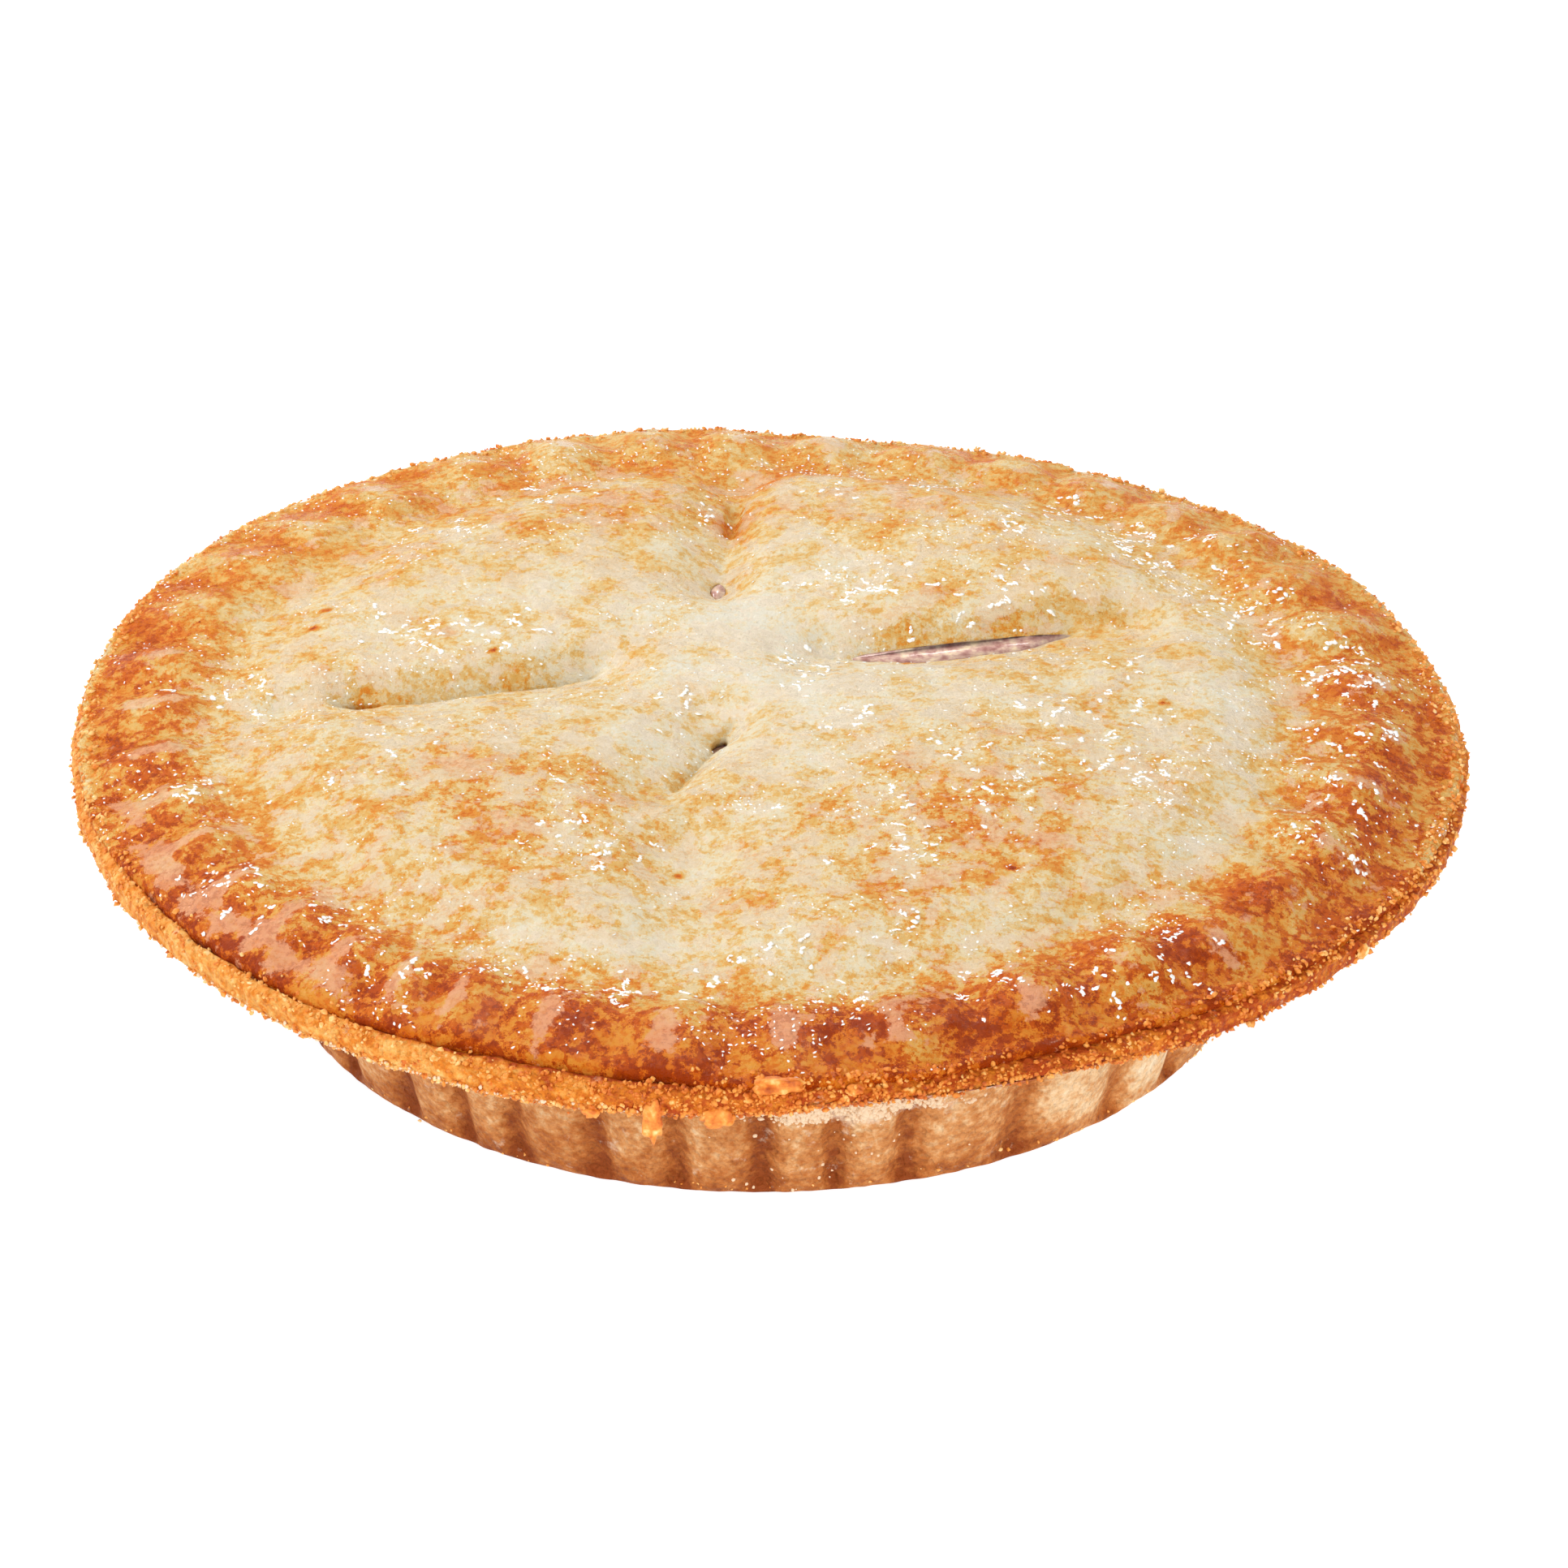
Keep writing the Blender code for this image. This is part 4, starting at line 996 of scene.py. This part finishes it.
GLINTS = (  # x, y, spread in millimetres and number of streaks
    (-36, 66, 5, 9), (-29, 68, 5, 8), (-46, 55, 6, 11), (-10, 60, 4, 10), (48, 60, 6, 12), (58, 45, 5, 9),
    (-52, 17, 6, 18), (-40, 20, 6, 16), (-58, 22, 5, 9), (7, 10, 5, 8), (-13, -3, 6, 9), (85, 10, 5, 12),
    (83, -10, 6, 14), (88, -25, 6, 14), (82, -38, 6, 12), (-20, -80, 4, 12), (-48, -75, 5, 12),
    (-35, -75, 5, 10), (-60, -64, 5, 9), (30, -78, 5, 14), (12, -83, 5, 12), (48, -77, 5, 14),
    (34, -33, 7, 16), (17, -40, 7, 18), (-25, -43, 8, 18), (60, -70, 5, 14), (-85, -25, 6, 14),
    (-78, -48, 6, 14), (-80, 5, 5, 10), (37, 52, 4, 6), (12, 33, 6, 10), (46, -10, 8, 16), (58, -24, 7, 14),
    (20, -60, 8, 12), (-60, -20, 8, 10), (24, 38, 8, 12), (72, 30, 6, 12), (10, 66, 4, 7), (26, 66, 4, 7),
    (45, 63, 5, 10), (57, 55, 4, 10), (55, 50, 3, 8), (66, 52, 4, 8), (74, 45, 4, 9), (60, 43, 4, 7),
    (70, 33, 5, 9), (79, 34, 4, 8), (79, 24, 4, 9), (89, 19, 4, 10), (87, 8, 5, 12), (92, -4, 4, 8),
    (41, 31, 5, 14), (20, 35, 4, 7), (10, 36, 4, 6), (5, 15, 4, 7), (5, 3, 4, 7), (12, -8, 4, 7),
    (40, -4, 5, 9), (56, -4, 5, 9), (55, 7, 4, 6), (50, -21, 5, 9), (26, -21, 5, 8), (-8, -78, 5, 8),
    (-72, -57, 5, 8), (0, -70, 6, 7),
)
STREAKS = (  # x, y and length of the longer streaks, and the way they run in degrees
    (22, 20.6, 2.5, 14), (30, 22.6, 3.0, 12), (38, 23.8, 2.5, 8), (37, 52, 8.0, -28),
    (-36, 65, 4.5, 10), (-33, 62, 3.5, 60), (9, 9, 4.0, 5), (-30, -80, 3.0, 80),
)
STREAK_WIDTH = 0.8
BEAD_STEP = 0.45
BEAD_SHAPES = 9
LOOSE_BEADS = 3200


def lying(normal, turn):
    """The rotation that lays a flat shape on a surface, turned about the surface's normal."""
    return Vector(normal).to_track_quat("Z", "Y").to_matrix() @ Matrix.Rotation(turn, 3, "Z")


def streak(x, y, heading, length, width):
    """Beads in a wavering row on the lid, which run together to one streak."""
    for _ in range(max(int(length / BEAD_STEP), 2)):
        heading += draw.gauss(0, 0.65)
        x, y = x + BEAD_STEP * math.cos(heading), y + BEAD_STEP * math.sin(heading)
        number = int(np.argmin((top_places[:, 0] - x) ** 2 + (top_places[:, 1] - y) ** 2))
        spot, normal = Vector(top_places[number]), top_normals[number]
        spot.xy = x, y
        if draw.random() < 0.8:
            spread = (draw.uniform(0.5, 1.2), width * draw.uniform(0.5, 1.2), 0.2)
            shape = draw.choice(bead_shapes)
            put(bead_mesh, shape, spot, spread, lying(normal, heading + draw.gauss(0, 0.4)))


bead_shapes = [jagged(1, 0.7, 60 + number) for number in range(BEAD_SHAPES)]
bead_mesh = bmesh.new()
up_side = lid_normals[:, 2] > 0.5
top_places, top_normals = lid_places[up_side], lid_normals[up_side]
for at_x, at_y, length, degrees in STREAKS:
    streak(at_x, at_y, math.radians(degrees), length, STREAK_WIDTH)
for at_x, at_y, spread, count in GLINTS:
    for _ in range(count):
        x, y = draw.gauss(at_x, spread * 0.6), draw.gauss(at_y, spread * 0.6)
        streak(x, y, draw.gauss(0, 0.9), draw.triangular(0.5, 4.2, 0.8), draw.uniform(0.45, 1.1))
patchy = grain(top_places, 14, 71) + 0.5 * grain(top_places, 5, 72)
loose = np.clip(patchy + 0.1, 0, 1) * np.hypot(top_places[:, 0], top_places[:, 1])
for number in draw.choices(range(len(loose)), weights=loose, k=LOOSE_BEADS):
    long, wide = draw.uniform(0.25, 0.8), draw.uniform(0.2, 0.4)
    turn = lying(top_normals[number], draw.gauss(0, 0.8))
    put(bead_mesh, draw.choice(bead_shapes), Vector(top_places[number]), (long, wide, 0.22), turn)

# Painted highlight: near pure white and glossy, so that the beads show as glints of light.
glint_paint = new_material("egg_wash_painted_white_glints")
surface = add(glint_paint, "BsdfPrincipled", {"Base Color": linear("#FFFFFA"), "Roughness": 0.12, "IOR": 1.5})
add(glint_paint, "OutputMaterial", {"Surface": surface.outputs[0]})

finished("egg_wash_beads_painted_glints", bead_mesh, "top_crust", glint_paint)

# ------------------------------------------------------------------------------------------------------------
# The view: the pie on a white table in soft studio light, seen from 30 degrees above its front.

VIEW_ELEVATION = math.radians(29.82)
VIEW_DISTANCE = 1.2
VIEW_TARGET_Z = 0.03
VIEW_YAW = math.radians(0.158)
VIEW_PITCH = math.radians(-0.152)
VIEW_WIDTH_PX = 1932
FOCAL_PX = 9854
SENSOR = 36.0
TABLE_HALF = 3.0
STUDIO_STRENGTH = 0.46

camera = bpy.data.objects.new("camera", bpy.data.cameras.new("camera"))
camera.data.sensor_width = SENSOR
camera.data.lens = FOCAL_PX / VIEW_WIDTH_PX * SENSOR
stand = Vector((*-PLAN_MIDDLE * 0.001, VIEW_TARGET_Z))
back = Vector((0, -math.cos(VIEW_ELEVATION), math.sin(VIEW_ELEVATION)))
turn = Matrix.Rotation(-VIEW_YAW, 4, back.cross((1, 0, 0))) @ Matrix.Rotation(VIEW_PITCH, 4, "X")
camera.matrix_world = turn @ Matrix.Rotation(math.pi / 2 - VIEW_ELEVATION, 4, "X")
camera.location = stand + back * VIEW_DISTANCE
bpy.context.scene.collection.objects.link(camera)
bpy.context.scene.camera = camera

table = bpy.data.objects.new("table", bpy.data.meshes.new("table"))
top = bmesh.new()
bmesh.ops.create_grid(top, x_segments=1, y_segments=1, size=TABLE_HALF)
top.to_mesh(table.data)
top.free()
bpy.context.scene.collection.objects.link(table)
white_card = new_material("white_card")
surface = add(
    white_card,
    "BsdfPrincipled",
    {
        "Base Color": linear("#A9B4C0"),
        "Roughness": 0.9,
        "Emission Color": (1, 1, 1, 1),
        "Emission Strength": 0.8,
    },
)
add(white_card, "OutputMaterial", {"Surface": surface.outputs[0]})
table.data.materials.append(white_card)

LIGHTS = (  # place and size in metres, and watts: behind left, left, in front and a small one behind
    ((-0.80, 0.75, 0.85), 0.6, 13.0),
    ((-1.0, -0.30, 0.40), 0.5, 4.0),
    ((0.5, -1.3, 0.72), 1.0, 16.0),
    ((0.20, 1.2, 0.75), 0.35, 6.0),
)
for number, (at, size, watts) in enumerate(LIGHTS):
    lamp = bpy.data.lights.new(f"softbox_{number}", "AREA")
    lamp.size = size
    lamp.energy = watts
    holder = bpy.data.objects.new(f"softbox_{number}", lamp)
    holder.location = at
    holder.rotation_euler = (Vector((0, 0, VIEW_TARGET_Z)) - Vector(at)).to_track_quat("-Z", "Y").to_euler()
    bpy.context.scene.collection.objects.link(holder)

world = bpy.data.worlds.new("studio")
world.use_nodes = True
world.node_tree.nodes["Background"].inputs["Color"].default_value = (1, 1, 1, 1)
world.node_tree.nodes["Background"].inputs["Strength"].default_value = STUDIO_STRENGTH
bpy.context.scene.world = world
bpy.context.scene.view_settings.view_transform = "Standard"
